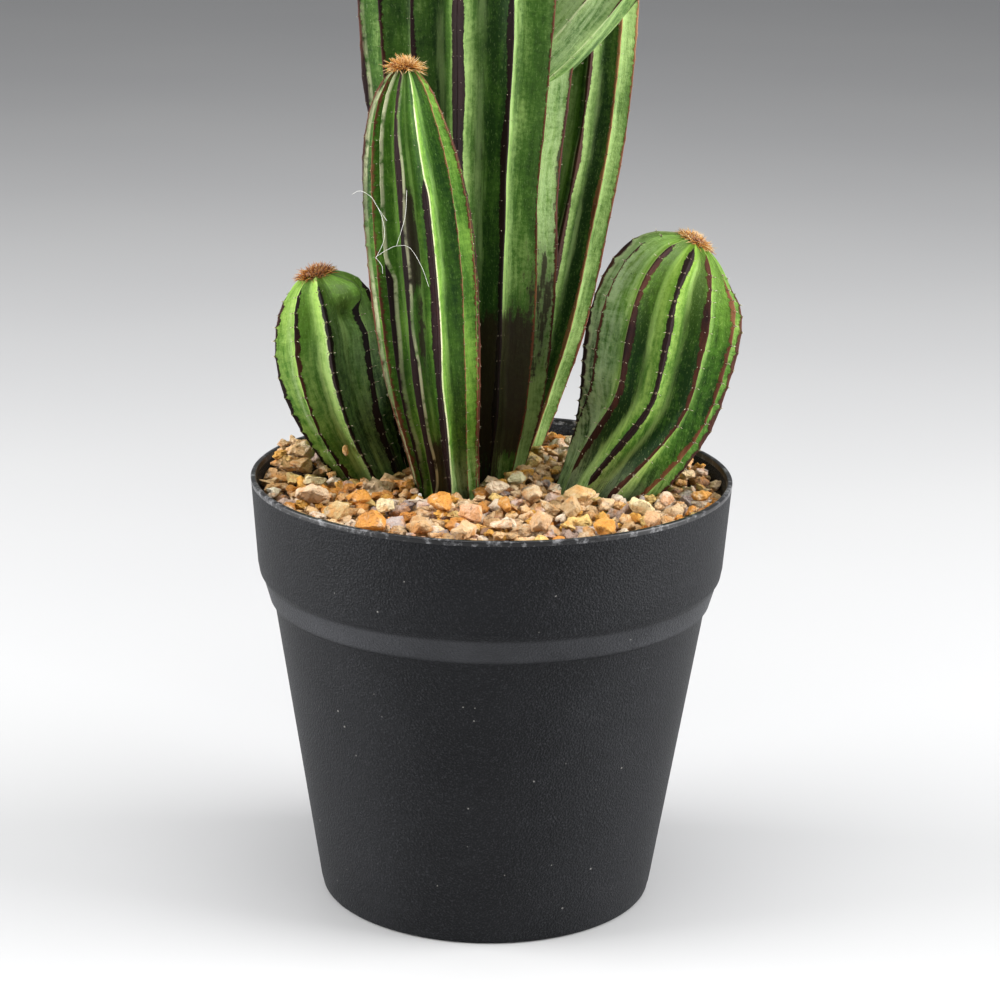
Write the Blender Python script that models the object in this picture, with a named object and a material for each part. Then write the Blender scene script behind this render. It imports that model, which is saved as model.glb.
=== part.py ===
"""Potted columnar cactus: five ribbed stems standing in gravel in a black plastic pot.

Frame: origin at the centre of the pot's underside, +Z up, -Y is the front, +X is the right.
Every size is in millimetres and becomes metres through MM.
"""

import math
import random

import bmesh
import bpy
import numpy as np
from mathutils import Matrix, Vector

MM = 0.001
TOUCH_GAP = 0.3          # gap that stands for contact between two pieces
SEED = 11
TURNED_SMOOTH = 30.0     # degrees; edges sharper than these stay sharp in the shading
STEM_SMOOTH = 35.0
TUFT_SMOOTH = 60.0

# ---- pot: turned plastic shell with a deep rim band ----
POT_HEIGHT = 108.8
POT_RIM_RADIUS = 60.0
POT_BASE_RADIUS = 42.0
POT_WALL = 2.2
POT_FLOOR = 2.4
BAND_DEPTH = 25.8        # height of the rim band, from the lip down to its lower corner
BAND_DRAFT = 2.0         # the band's lower corner is this much inside the rim
LEDGE_DROP = 5.5         # height of the sloping ledge under the band
LEDGE_DRAFT = 2.8        # how far the ledge runs in under the band
STEP_IN = 0.8            # small step from the ledge to the lower wall
CORNER_RADIUS = 2.6      # rounded lower corner of the band
CORNER_START = -60.0     # degrees; the corner's rounding runs from here up to the band's face
CORNER_STEPS = 4
LIP_CHAMFER = 0.7
FOOT_CHAMFER = 1.2
FOOT_RING_WIDTH = 5.0
FOOT_RECESS = 1.6        # the ring-shaped hollow under the floor that the drain holes open into
FOOT_PAD_RADIUS = 16.0   # flat pad in the middle of the underside
DRAIN_HOLES = 6
DRAIN_HOLE_RADIUS = 3.5
POT_SEGMENTS = 48
DRILL_SEGMENTS = 24

# ---- filling ----
GRAVEL_BELOW_LIP = 4.3   # gravel level at the wall, measured down from the lip
GRAVEL_MOUND = 2.0       # how much higher the gravel lies in the middle
GRAVEL_DEPTH = 12.0
GRAVEL_LEVEL = POT_HEIGHT - GRAVEL_BELOW_LIP
SOIL_LEVEL = GRAVEL_LEVEL - GRAVEL_DEPTH
GRAVEL_RINGS = (1.0, 0.6)         # radii of the mound's rings, as shares of its edge
STONES = 36
STONE_SMALLEST = 6.5     # longest measure of the loose stones
STONE_LARGEST = 11.0
STONE_CLEARANCE = 0.5
STONE_POINTS = 16        # points whose hull makes a stone
STONE_WIDTHS = (0.62, 0.85)       # a stone's width and height, as shares of its longest measure
STONE_HEIGHTS = (0.5, 0.7)
STONE_TILT = 0.35        # radians
STONE_TRIES = 40000      # places tried before the search for room stops
STEM_TEST_HEIGHTS = (0.0, 3.0, 6.0, 9.0)    # heights at which a stone is tested against the stems

# ---- stems ----
ROOT_DEPTH = 30.0        # how far every stem goes down below the gravel's surface
ROOT_BEND = 14.0         # depth over which a leaning stem turns upright
ROOT_SHARE = 0.65        # buried end's radius, as a share of the radius at the gravel
STEM_CLEARANCE = 0.5     # least gap between a side stem and the main stem
COLLAR_STATIONS = (-ROOT_DEPTH, -ROOT_BEND, -ROOT_BEND / 2, -3.0, 0.0, 3.0, 6.0, 10.0, 15.0)
TANGENT_STEP = 0.5       # half the stretch of axis that a direction is read from
PRESS_KNOTS = 21         # points of a side stem's axis that are tested against the main stem
CREST_SHARE = 0.07       # half of a rib's flat crest, as a share of the rib's pitch
GROOVE_AT_GRAVEL = 0.35  # the grooves' depth where a stem leaves the gravel, as a share of full depth
GROOVE_RISE = 2.0        # stem radii over which the grooves reach their full depth
POCKET_SIDES = 18
TIP_SHARE = 0.22         # the flat tip under a tuft, as a share of the shoulder's radius
TUFT_HEIGHT = 2.6
COLUMN_RINGS = (15, 7)   # rings along a stem's body and over its crown
ARM_RINGS = (12, 5)
SIDE_RINGS = (7, 5)

MAIN_STEM_HEIGHT = 343.0     # above the gravel level at the wall
MAIN_STEM_RADIUS = 28.5
MAIN_STEM_FOOT_RADIUS = 15.0
MAIN_STEM_WAIST_RADIUS = 23.4
MAIN_STEM_CROWN = 62.0
ARM_HEIGHT = 268.0           # top of the arm, above the gravel level at the wall
ARM_RADIUS = 13.5
ARM_ROOT_RADIUS = 10.0
ARM_CROWN = 30.0


def curve_through(knots, values, samples):
    """Smooth curve through the values at the knots, read at the samples."""
    knots = np.asarray(knots, float)
    values = np.asarray(values, float)
    flat = values.ndim == 1
    if flat:
        values = values[:, None]
    slopes = np.gradient(values, knots, axis=0)
    index = np.clip(np.searchsorted(knots, samples, side="right") - 1, 0, len(knots) - 2)
    width = (knots[index + 1] - knots[index])[:, None]
    t = (np.asarray(samples) - knots[index])[:, None] / width
    result = ((2 * t**3 - 3 * t**2 + 1) * values[index]
              + (t**3 - 2 * t**2 + t) * width * slopes[index]
              + (3 * t**2 - 2 * t**3) * values[index + 1]
              + (t**3 - t**2) * width * slopes[index + 1])
    return result[:, 0] if flat else result


class Stem:
    """A ribbed stem swept up a curved axis.

    path    axis points (x, y, height above the gravel level), from the gravel to the tip
    girth   (share of the length, radius over the rib crests) up to the shoulder
    crown   height of the half-ellipse that closes the top
    ribs    bearings of the rib crests in degrees, 0 at the front and 90 on the right
    groove  depth of the grooves between the ribs, as a share of the radius
    twist   turn of the ribs from foot to tip, in degrees
    """

    def __init__(self, name, path, girth, crown, ribs, groove, tuft, twist=0.0, buried=True):
        self.name = name
        self.crown = crown
        self.ribs = sorted(ribs)
        self.groove = groove
        self.tuft = tuft
        self.twist = twist
        self.buried = buried
        points = np.array(path, float)
        points[:, 2] += GRAVEL_LEVEL
        chord = np.linalg.norm(np.diff(points, axis=0), axis=1)
        self.knots = np.concatenate([[0.0], np.cumsum(chord)])
        self.points = points
        self.length = self.knots[-1]
        self.girth = girth

    def radius(self, station):
        """Radius over the crests at each distance along the axis."""
        station = np.asarray(station, float)
        shoulder = self.length - self.crown
        shares, radii = zip(*self.girth)
        body = curve_through(np.array(shares) * self.length, radii,
                             np.clip(station, 0.0, shares[-1] * self.length))
        rise = np.clip((station - shoulder) / self.crown, 0.0, 1.0)
        closing = np.sqrt(np.maximum(1.0 - rise**2, 0.0))
        depth = np.clip(-station / ROOT_DEPTH, 0.0, 1.0)
        rooting = 1.0 - (1.0 - ROOT_SHARE) * depth
        return body * closing * rooting

    def axis(self, station):
        """Point on the axis; below the gravel the stem bends to run straight down."""
        station = np.asarray(station, float)
        point = curve_through(self.knots, self.points, np.clip(station, 0.0, self.length))
        lean = (self.points[1, :2] - self.points[0, :2]) / self.knots[1]
        depth = np.minimum(station, 0.0)
        bend = np.maximum(depth, -ROOT_BEND)
        point[:, :2] += np.outer(bend + bend**2 / (2 * ROOT_BEND), lean)
        point[:, 2] += depth
        return point

    def stations(self, body_rings, crown_rings):
        """Distances along the axis of the rings, closer together over the crown."""
        shoulder = self.length - self.crown
        last = math.acos(TIP_SHARE)
        crown = shoulder + self.crown * np.sin(np.linspace(0.0, last, crown_rings + 1)[1:])
        if not self.buried:
            return np.concatenate([np.linspace(0.0, shoulder, body_rings), crown])
        body = np.linspace(COLLAR_STATIONS[-1], shoulder, body_rings)[1:]
        return np.concatenate([COLLAR_STATIONS, body, crown])

    def frames(self, station):
        """Axis points with two directions across the stem: towards the front and the right."""
        station = np.asarray(station, float)
        centres = self.axis(station)
        ahead = np.minimum(station + TANGENT_STEP, self.length)
        tangents = self.axis(ahead) - self.axis(ahead - 2 * TANGENT_STEP)
        tangents /= np.linalg.norm(tangents, axis=1)[:, None]
        front = np.array([0.0, -1.0, 0.0])
        forward = front - (tangents @ front)[:, None] * tangents
        forward /= np.linalg.norm(forward, axis=1)[:, None]
        sideways = np.cross(tangents, forward)
        return centres, tangents, forward, sideways


def bearings_around(ribs):
    """Bearings and groove weights of one ring: crest, crest, groove for each rib."""
    bearings = []
    weights = []
    for rib, following in zip(ribs, ribs[1:] + [ribs[0] + 360.0]):
        pitch = following - rib
        bearings += [rib - CREST_SHARE * pitch, rib + CREST_SHARE * pitch, rib + pitch / 2]
        weights += [0.0, 0.0, 1.0]
    return np.radians(bearings), np.array(weights)


def even_ribs(first, count):
    """Bearings of evenly spaced ribs."""
    return [first + 360.0 * number / count for number in range(count)]


def press_outward(stem, main):
    """Move a side stem's axis out wherever it would come too close to the main stem.

    The axis is first divided more finely, so that it also stays clear between its given points.
    """
    knots = np.linspace(0.0, stem.length, PRESS_KNOTS)
    stem.points = stem.axis(knots)
    stem.knots = knots
    heights = main.points[:, 2]
    for number, point in enumerate(stem.points):
        along = np.interp(point[2], heights, main.knots)
        centre = main.axis([along])[0]
        offset = point[:2] - centre[:2]
        reach = main.radius([along])[0] + stem.radius([knots[number]])[0] + STEM_CLEARANCE
        distance = np.linalg.norm(offset)
        if distance < reach:
            stem.points[number, :2] = centre[:2] + offset * reach / distance


# ---------------------------------------------------------------- mesh building

def clear_scene():
    for item in list(bpy.data.objects):
        bpy.data.objects.remove(item, do_unlink=True)


def material(name, color, roughness, metallic=0.0):
    made = bpy.data.materials.new(name)
    made.use_nodes = True
    shader = made.node_tree.nodes["Principled BSDF"]
    shader.inputs["Base Color"].default_value = (*color, 1.0)
    shader.inputs["Roughness"].default_value = roughness
    shader.inputs["Metallic"].default_value = metallic
    return made


def finish_object(name, mesh_builder, surface, smooth_angle=None):
    """Turn a bmesh in millimetres into a named object in metres."""
    bmesh.ops.recalc_face_normals(mesh_builder, faces=mesh_builder.faces)
    bmesh.ops.scale(mesh_builder, vec=(MM, MM, MM), verts=mesh_builder.verts)
    mesh = bpy.data.meshes.new(name)
    mesh_builder.to_mesh(mesh)
    mesh_builder.free()
    if smooth_angle is not None:
        mesh.shade_smooth()
        mesh.set_sharp_from_angle(angle=math.radians(smooth_angle))
    made = bpy.data.objects.new(name, mesh)
    made.data.materials.append(surface)
    bpy.context.scene.collection.objects.link(made)
    return made


def make_cutter(made):
    made.hide_render = True
    made.display_type = "WIRE"
    return made


def add_boolean(target, operation, other):
    step = target.modifiers.new(f"{operation.lower()} {other.name}", "BOOLEAN")
    step.operation = operation
    step.solver = "EXACT"
    step.object = other


def skin_rings(rings):
    """Closed mesh from a list of rings with equal point counts, capped at both ends."""
    mesh_builder = bmesh.new()
    loops = [[mesh_builder.verts.new(point) for point in ring] for ring in rings]
    count = len(loops[0])
    for lower, upper in zip(loops, loops[1:]):
        for i in range(count):
            j = (i + 1) % count
            mesh_builder.faces.new((lower[i], lower[j], upper[j], upper[i]))
    for loop in (loops[0], loops[-1]):
        middle = mesh_builder.verts.new(np.mean([vert.co[:] for vert in loop], axis=0))
        for i in range(count):
            mesh_builder.faces.new((loop[i], loop[(i + 1) % count], middle))
    bmesh.ops.triangulate(mesh_builder, faces=mesh_builder.faces)
    return mesh_builder


def turned(profile, segments):
    """Closed mesh from a closed profile of (radius, z) points spun about Z."""
    mesh_builder = bmesh.new()
    loops = []
    for radius, z in profile:
        if radius == 0.0:
            loops.append([mesh_builder.verts.new((0.0, 0.0, z))])
            continue
        angles = [2 * math.pi * i / segments for i in range(segments)]
        loops.append([mesh_builder.verts.new((radius * math.cos(a), radius * math.sin(a), z))
                      for a in angles])
    for first, second in zip(loops, loops[1:]):
        for i in range(segments):
            j = (i + 1) % segments
            corners = [first[i % len(first)], first[j % len(first)],
                       second[j % len(second)], second[i % len(second)]]
            unique = list(dict.fromkeys(corners))
            if len(unique) > 2:
                mesh_builder.faces.new(unique)
    bmesh.ops.triangulate(mesh_builder, faces=mesh_builder.faces)
    return mesh_builder


# ---------------------------------------------------------------- pot and filling

def pot_outer(z):
    """Outer radius of the lower wall at a height, from the foot to the ledge."""
    share = z / (POT_HEIGHT - BAND_DEPTH - LEDGE_DROP)
    return POT_BASE_RADIUS + (wall_top_radius() - POT_BASE_RADIUS) * share


def wall_top_radius():
    return POT_RIM_RADIUS - BAND_DRAFT - LEDGE_DRAFT - STEP_IN


def pot_inner(z):
    """Inner radius of the pot at a height above the floor."""
    band_foot = POT_HEIGHT - BAND_DEPTH
    ledge_foot = band_foot - LEDGE_DROP
    if z <= ledge_foot:
        return pot_outer(z) - POT_WALL
    if z <= band_foot:
        share = (z - ledge_foot) / LEDGE_DROP
        low = pot_outer(ledge_foot) - POT_WALL
        return low + (POT_RIM_RADIUS - BAND_DRAFT - POT_WALL - low) * share
    share = (z - band_foot) / BAND_DEPTH
    return POT_RIM_RADIUS - BAND_DRAFT * (1.0 - share) - POT_WALL


def rounded_corner(corner, radius, start_degrees, end_degrees, steps):
    """Points of an arc that rounds a corner off, about a centre inside the wall."""
    points = []
    for step in range(steps + 1):
        angle = math.radians(start_degrees + (end_degrees - start_degrees) * step / steps)
        points.append((corner[0] + radius * math.cos(angle), corner[1] + radius * math.sin(angle)))
    return points


def build_pot(surface):
    band_foot = POT_HEIGHT - BAND_DEPTH
    ledge_foot = band_foot - LEDGE_DROP
    band_radius = POT_RIM_RADIUS - BAND_DRAFT
    ledge_radius = band_radius - LEDGE_DRAFT
    lip_middle = POT_RIM_RADIUS - POT_WALL
    profile = [(0.0, 0.0), (FOOT_PAD_RADIUS, 0.0), (FOOT_PAD_RADIUS, FOOT_RECESS)]
    foot_inside = POT_BASE_RADIUS - FOOT_CHAMFER - FOOT_RING_WIDTH
    profile += [(foot_inside, FOOT_RECESS), (foot_inside, 0.0)]
    profile += [(POT_BASE_RADIUS - FOOT_CHAMFER, 0.0), (pot_outer(FOOT_CHAMFER), FOOT_CHAMFER)]
    profile += [(pot_outer(ledge_foot), ledge_foot - STEP_IN / 2), (ledge_radius, ledge_foot)]
    corner = (band_radius - CORNER_RADIUS, band_foot + CORNER_RADIUS)
    profile += rounded_corner(corner, CORNER_RADIUS, CORNER_START, 0.0, CORNER_STEPS)
    profile += [(POT_RIM_RADIUS, POT_HEIGHT - LIP_CHAMFER)]
    profile += [(POT_RIM_RADIUS - LIP_CHAMFER, POT_HEIGHT), (lip_middle, POT_HEIGHT)]
    profile += [(pot_inner(band_foot), band_foot), (pot_inner(ledge_foot), ledge_foot)]
    floor_top = POT_FLOOR + FOOT_RECESS
    profile += [(pot_inner(floor_top), floor_top), (0.0, floor_top)]
    pot = finish_object("pot", turned(profile, POT_SEGMENTS), surface, TURNED_SMOOTH)
    ring_radius = (FOOT_PAD_RADIUS + foot_inside) / 2
    for number in range(DRAIN_HOLES):
        bearing = 2 * math.pi * (number + 0.5) / DRAIN_HOLES
        drill = bmesh.new()
        bmesh.ops.create_cone(drill, cap_ends=True, segments=DRILL_SEGMENTS,
                              radius1=DRAIN_HOLE_RADIUS, radius2=DRAIN_HOLE_RADIUS,
                              depth=4 * POT_FLOOR)
        place = (ring_radius * math.cos(bearing), ring_radius * math.sin(bearing), floor_top)
        bmesh.ops.translate(drill, vec=place, verts=drill.verts)
        cutter = make_cutter(finish_object(f"drain_cutter_{number}", drill, surface))
        add_boolean(pot, "DIFFERENCE", cutter)
    return pot


def gravel_height(distance):
    """Height of the gravel bed's mounded top at a distance from the pot's axis."""
    share = min(distance / pot_inner(GRAVEL_LEVEL), 1.0)
    return GRAVEL_LEVEL + GRAVEL_MOUND * (1.0 - share**2)


def build_soil(surface):
    floor_top = POT_FLOOR + FOOT_RECESS + TOUCH_GAP
    ledge_foot = POT_HEIGHT - BAND_DEPTH - LEDGE_DROP
    band_foot = POT_HEIGHT - BAND_DEPTH
    levels = [floor_top, ledge_foot, band_foot, SOIL_LEVEL]
    profile = [(0.0, floor_top)]
    profile += [(pot_inner(z) - TOUCH_GAP, z) for z in levels]
    profile += [(0.0, SOIL_LEVEL)]
    return finish_object("potting_soil", turned(profile, POT_SEGMENTS), surface, TURNED_SMOOTH)


def build_gravel_bed(surface):
    bottom = SOIL_LEVEL + TOUCH_GAP
    profile = [(0.0, bottom), (pot_inner(bottom) - TOUCH_GAP, bottom)]
    edge = pot_inner(GRAVEL_LEVEL) - TOUCH_GAP
    for share in GRAVEL_RINGS:
        profile.append((edge * share, gravel_height(edge * share)))
    profile.append((0.0, gravel_height(0.0)))
    return finish_object("gravel_bed", turned(profile, POT_SEGMENTS), surface, TURNED_SMOOTH)


# ---------------------------------------------------------------- stems

def rib_rings(stem, body_rings, crown_rings):
    """Rings of a ribbed stem; the ribs fade out towards the buried end."""
    station = stem.stations(body_rings, crown_rings)
    centres, _, forward, sideways = stem.frames(station)
    radii = stem.radius(station)
    bearings, weights = bearings_around(stem.ribs)
    rings = []
    for i, along in enumerate(station):
        turn = bearings + math.radians(stem.twist) * max(along, 0.0) / stem.length
        grown = GROOVE_AT_GRAVEL + max(along, 0.0) / (GROOVE_RISE * radii[i])
        depth = stem.groove * min(1.0, grown)
        reach = radii[i] * (1.0 - depth * weights)
        rings.append(centres[i] + np.outer(reach * np.cos(turn), forward[i])
                     + np.outer(reach * np.sin(turn), sideways[i]))
    return rings


def build_stem(stem, surface, body_rings, crown_rings):
    return finish_object(stem.name, skin_rings(rib_rings(stem, body_rings, crown_rings)),
                         surface, STEM_SMOOTH)


def build_pocket(stem, surface):
    """Cutter for the hole that a stem's buried end stands in."""
    station = np.array(COLLAR_STATIONS)
    centres, _, forward, sideways = stem.frames(station)
    radii = (stem.radius(station) + TOUCH_GAP) / math.cos(math.pi / POCKET_SIDES)
    turn = np.linspace(0.0, 2 * math.pi, POCKET_SIDES, endpoint=False)
    rings = [centres[i] + np.outer(radii[i] * np.cos(turn), forward[i])
             + np.outer(radii[i] * np.sin(turn), sideways[i]) for i in range(len(station))]
    rings[0][:, 2] -= TOUCH_GAP
    cutter = finish_object(f"{stem.name}_pocket_cutter", skin_rings(rings), surface)
    return make_cutter(cutter)


def build_tuft(name, stem, surface):
    """Low dome of bristles standing on a stem's tip."""
    end = stem.stations(2, 2)[-1]
    centres, tangents, _, _ = stem.frames([end])
    dome = bmesh.new()
    bmesh.ops.create_icosphere(dome, subdivisions=2, radius=1.0)
    bmesh.ops.bisect_plane(dome, geom=dome.verts[:] + dome.edges[:] + dome.faces[:],
                           plane_co=(0, 0, 0), plane_no=(0, 0, -1), clear_outer=True)
    bmesh.ops.holes_fill(dome, edges=[edge for edge in dome.edges if edge.is_boundary])
    bmesh.ops.triangulate(dome, faces=dome.faces)
    bmesh.ops.scale(dome, vec=(stem.tuft, stem.tuft, TUFT_HEIGHT), verts=dome.verts)
    turn = Vector((0, 0, 1)).rotation_difference(Vector(tangents[-1])).to_matrix().to_4x4()
    seat = Vector(centres[-1] + tangents[-1] * TOUCH_GAP)
    bmesh.ops.transform(dome, matrix=Matrix.Translation(seat) @ turn, verts=dome.verts)
    return finish_object(name, dome, surface, TUFT_SMOOTH)


def make_stems():
    main = Stem(
        "main_stem",
        path=[(-6.6, 19.0, 0.0), (-7.4, 19.0, 0.3 * MAIN_STEM_HEIGHT),
              (-7.8, 19.5, 0.65 * MAIN_STEM_HEIGHT), (-6.5, 20.5, MAIN_STEM_HEIGHT)],
        girth=[(0.0, MAIN_STEM_FOOT_RADIUS), (0.045, 19.3), (0.12, 22.4),
               (0.22, MAIN_STEM_WAIST_RADIUS), (0.33, 27.4), (0.5, MAIN_STEM_RADIUS),
               (0.8, MAIN_STEM_RADIUS - 1.5)],
        crown=MAIN_STEM_CROWN, ribs=[-51, -29, -5, 23, 49, 76, 102, 127, 152, 178, 204, 230, 256, 283],
        groove=0.2, tuft=7.5)
    arm = Stem(
        "arm",
        path=[(-4.0, 19.0, 96.0), (12.0, 17.0, 113.0), (27.0, 13.5, 134.0), (39.0, 11.0, 156.0),
              (45.0, 10.0, 184.0), (46.0, 10.5, ARM_HEIGHT)],
        girth=[(0.0, ARM_ROOT_RADIUS), (0.22, 13.0), (0.4, ARM_RADIUS), (0.8, ARM_RADIUS)],
        crown=ARM_CROWN, ribs=even_ribs(8.0, 10), groove=0.2, tuft=4.6, buried=False)
    front = Stem(
        "front_stem",
        path=[(-10.6, -4.5, 0.0), (-13.1, -12.5, 20.5), (-14.8, -16.8, 34.0), (-17.0, -18.8, 58.0),
              (-19.5, -18.8, 79.0), (-21.8, -17.6, 97.0), (-22.0, -16.3, 107.5)],
        girth=[(0.0, 7.7), (0.11, 8.7), (0.3, 11.3), (0.56, 12.9), (0.7, 12.9)],
        crown=43.0, ribs=[-61, -46, -24, 6, 31, 60, 90, 120, 150, 180, 210, 240, 270],
        groove=0.2, tuft=4.3, twist=12.0)
    left = Stem(
        "left_stem",
        path=[(-30.0, 12.8, 0.0), (-34.2, 9.0, 11.5), (-37.0, 6.5, 21.7), (-40.0, 5.5, 32.5),
              (-41.8, 6.5, 43.0), (-44.8, 9.5, 54.0)],
        girth=[(0.0, 8.4), (0.22, 10.8), (0.41, 12.8), (0.6, 14.0), (0.7, 14.0)],
        crown=20.0, ribs=[-72, -33, 5, 47, 88, 128, 168, 208, 248], groove=0.24, tuft=5.4)
    right = Stem(
        "right_stem",
        path=[(27.6, 0.0, 0.0), (33.4, 0.0, 10.5), (37.8, 1.0, 21.0), (42.0, 4.0, 40.0),
              (45.0, 8.0, 55.0), (48.6, 11.5, 64.0)],
        girth=[(0.0, 11.4), (0.14, 14.0), (0.32, 16.6), (0.6, 18.8), (0.75, 18.8)],
        crown=25.0, ribs=[-62, -32, -2, 28, 57, 83, 114, 145, 177, 208, 239, 268],
        groove=0.2, tuft=5.0)
    rear = Stem(
        "rear_stem",
        path=[(5.8, 38.5, 0.0), (9.8, 42.0, 14.5), (14.6, 43.5, 34.0), (19.0, 43.5, 58.0),
              (24.0, 43.0, 90.0), (25.8, 43.5, 117.0), (26.0, 45.0, 160.0), (25.0, 46.5, 226.0)],
        girth=[(0.0, 6.6), (0.07, 8.2), (0.15, 9.5), (0.3, 10.0), (0.5, 9.8), (0.85, 9.6)],
        crown=24.0, ribs=[-55, -12, 32, 74, 116, 158, 200, 243, 276], groove=0.22, tuft=4.0)
    for side_stem in (front, left, right, rear):
        press_outward(side_stem, main)
    return main, arm, (front, left, right, rear)


# ---------------------------------------------------------------- loose stones

def stone_shape(rng, size):
    """Angular stone: the hull of random points on a squashed sphere."""
    half = Vector((size / 2, size / 2 * rng.uniform(*STONE_WIDTHS),
                   size / 2 * rng.uniform(*STONE_HEIGHTS)))
    mesh_builder = bmesh.new()
    for _ in range(STONE_POINTS):
        direction = Vector([rng.gauss(0, 1) for _ in range(3)]).normalized()
        mesh_builder.verts.new(Vector([direction[k] * half[k] for k in range(3)]))
    hull = bmesh.ops.convex_hull(mesh_builder, input=mesh_builder.verts)
    unused = set(hull["geom_interior"]) | set(hull["geom_unused"])
    bmesh.ops.delete(mesh_builder, geom=[v for v in unused if isinstance(v, bmesh.types.BMVert)],
                     context="VERTS")
    turn = Matrix.Rotation(rng.uniform(0, 2 * math.pi), 4, "Z")
    tilt = Matrix.Rotation(rng.uniform(-STONE_TILT, STONE_TILT), 4, "X")
    bmesh.ops.transform(mesh_builder, matrix=turn @ tilt, verts=mesh_builder.verts)
    return mesh_builder


def clear_of_stems(place, reach, stems):
    """True where a stone of this reach would touch no stem."""
    for stem in stems:
        for height in STEM_TEST_HEIGHTS:
            station = np.interp(GRAVEL_LEVEL + height, stem.points[:, 2], stem.knots)
            centre = stem.axis([station])[0]
            need = stem.radius([station])[0] + reach + STONE_CLEARANCE
            if math.hypot(place[0] - centre[0], place[1] - centre[1]) < need:
                return False
    return True


def build_stones(stems, surfaces):
    """Loose stones on top of the gravel bed, clear of the stems, the wall and each other."""
    rng = random.Random(SEED)
    placed = []
    for _ in range(STONE_TRIES):
        if len(placed) == STONES:
            break
        size = rng.uniform(STONE_SMALLEST, STONE_LARGEST)
        reach = size / 2
        room = pot_inner(GRAVEL_LEVEL) - reach - STONE_CLEARANCE
        distance = room * math.sqrt(rng.random())
        bearing = rng.uniform(0, 2 * math.pi)
        place = (distance * math.cos(bearing), distance * math.sin(bearing))
        apart = all(math.dist(place, other[0]) > reach + other[1] + STONE_CLEARANCE
                    for other in placed)
        if apart and clear_of_stems(place, reach, stems):
            placed.append((place, reach, size))
    for number, (place, _, size) in enumerate(placed, start=1):
        mesh_builder = stone_shape(rng, size)
        lift = max(gravel_height(math.hypot(v.co.x + place[0], v.co.y + place[1])) - v.co.z
                   for v in mesh_builder.verts)
        seat = gravel_height(max(math.hypot(*place) - size / 2, 0.0)) + TOUCH_GAP
        lowest = min(v.co.z for v in mesh_builder.verts)
        lift = max(lift + TOUCH_GAP, seat - lowest)
        bmesh.ops.translate(mesh_builder, vec=(*place, lift), verts=mesh_builder.verts)
        finish_object(f"stone_{number:02d}", mesh_builder, surfaces[number % len(surfaces)])


def main():
    clear_scene()
    skin = material("cactus skin", (0.075, 0.19, 0.035), 0.42)
    bristle = material("bristle tuft", (0.55, 0.25, 0.07), 0.8)
    plastic = material("black plastic", (0.035, 0.036, 0.04), 0.55)
    soil = material("potting soil", (0.045, 0.03, 0.02), 0.95)
    gravel = material("gravel", (0.55, 0.4, 0.25), 0.8)
    stone_surfaces = [material("tan stone", (0.62, 0.45, 0.28), 0.7),
                      material("orange stone", (0.6, 0.3, 0.1), 0.7),
                      material("pale stone", (0.7, 0.6, 0.45), 0.7)]
    build_pot(plastic)
    soil_body = build_soil(soil)
    gravel_bed = build_gravel_bed(gravel)
    main_stem, arm, side_stems = make_stems()
    column = build_stem(main_stem, skin, *COLUMN_RINGS)
    branch = make_cutter(build_stem(arm, skin, *ARM_RINGS))
    branch.name = "arm_union_cutter"
    add_boolean(column, "UNION", branch)
    build_tuft("main_crown_tuft", main_stem, bristle)
    build_tuft("arm_crown_tuft", arm, bristle)
    for stem in side_stems:
        build_stem(stem, skin, *SIDE_RINGS)
        build_tuft(stem.name.replace("_stem", "_crown_tuft"), stem, bristle)
    for stem in (main_stem, *side_stems):
        pocket = build_pocket(stem, skin)
        add_boolean(soil_body, "DIFFERENCE", pocket)
        add_boolean(gravel_bed, "DIFFERENCE", pocket)
    build_stones((main_stem, *side_stems), stone_surfaces)


main()
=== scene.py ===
"""Looks for the potted columnar cactus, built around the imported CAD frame.

The frame's origin is at the centre of the pot's underside, +Z up, -Y the front, +X the right.
Shapes are worked out in millimetres and become metres when a mesh is made.
"""
import math
import random
from dataclasses import dataclass, field

import bmesh
import bpy
import numpy as np
from mathutils import Matrix, Vector, noise


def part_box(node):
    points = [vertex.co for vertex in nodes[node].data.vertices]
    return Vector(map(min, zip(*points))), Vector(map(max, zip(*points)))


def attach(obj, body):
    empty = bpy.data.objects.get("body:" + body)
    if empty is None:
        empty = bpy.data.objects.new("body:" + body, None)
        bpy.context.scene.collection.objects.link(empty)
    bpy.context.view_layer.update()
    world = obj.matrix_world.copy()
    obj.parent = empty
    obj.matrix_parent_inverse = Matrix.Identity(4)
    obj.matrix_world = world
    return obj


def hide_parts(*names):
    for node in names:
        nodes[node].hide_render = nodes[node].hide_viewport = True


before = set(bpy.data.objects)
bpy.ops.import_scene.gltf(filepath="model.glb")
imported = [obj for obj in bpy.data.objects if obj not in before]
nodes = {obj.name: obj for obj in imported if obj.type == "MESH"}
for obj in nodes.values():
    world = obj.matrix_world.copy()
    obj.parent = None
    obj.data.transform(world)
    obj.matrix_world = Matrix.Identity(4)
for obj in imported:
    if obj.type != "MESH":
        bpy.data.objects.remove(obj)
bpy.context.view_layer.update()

MM = 0.001
BODY = "root"


def box_mm(name):
    """Lowest and highest corner of a CAD node, in millimetres."""
    low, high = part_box(name)
    return np.array(low) / MM, np.array(high) / MM


# ---------------------------------------------------------------- sizes taken over from the CAD part

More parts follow.
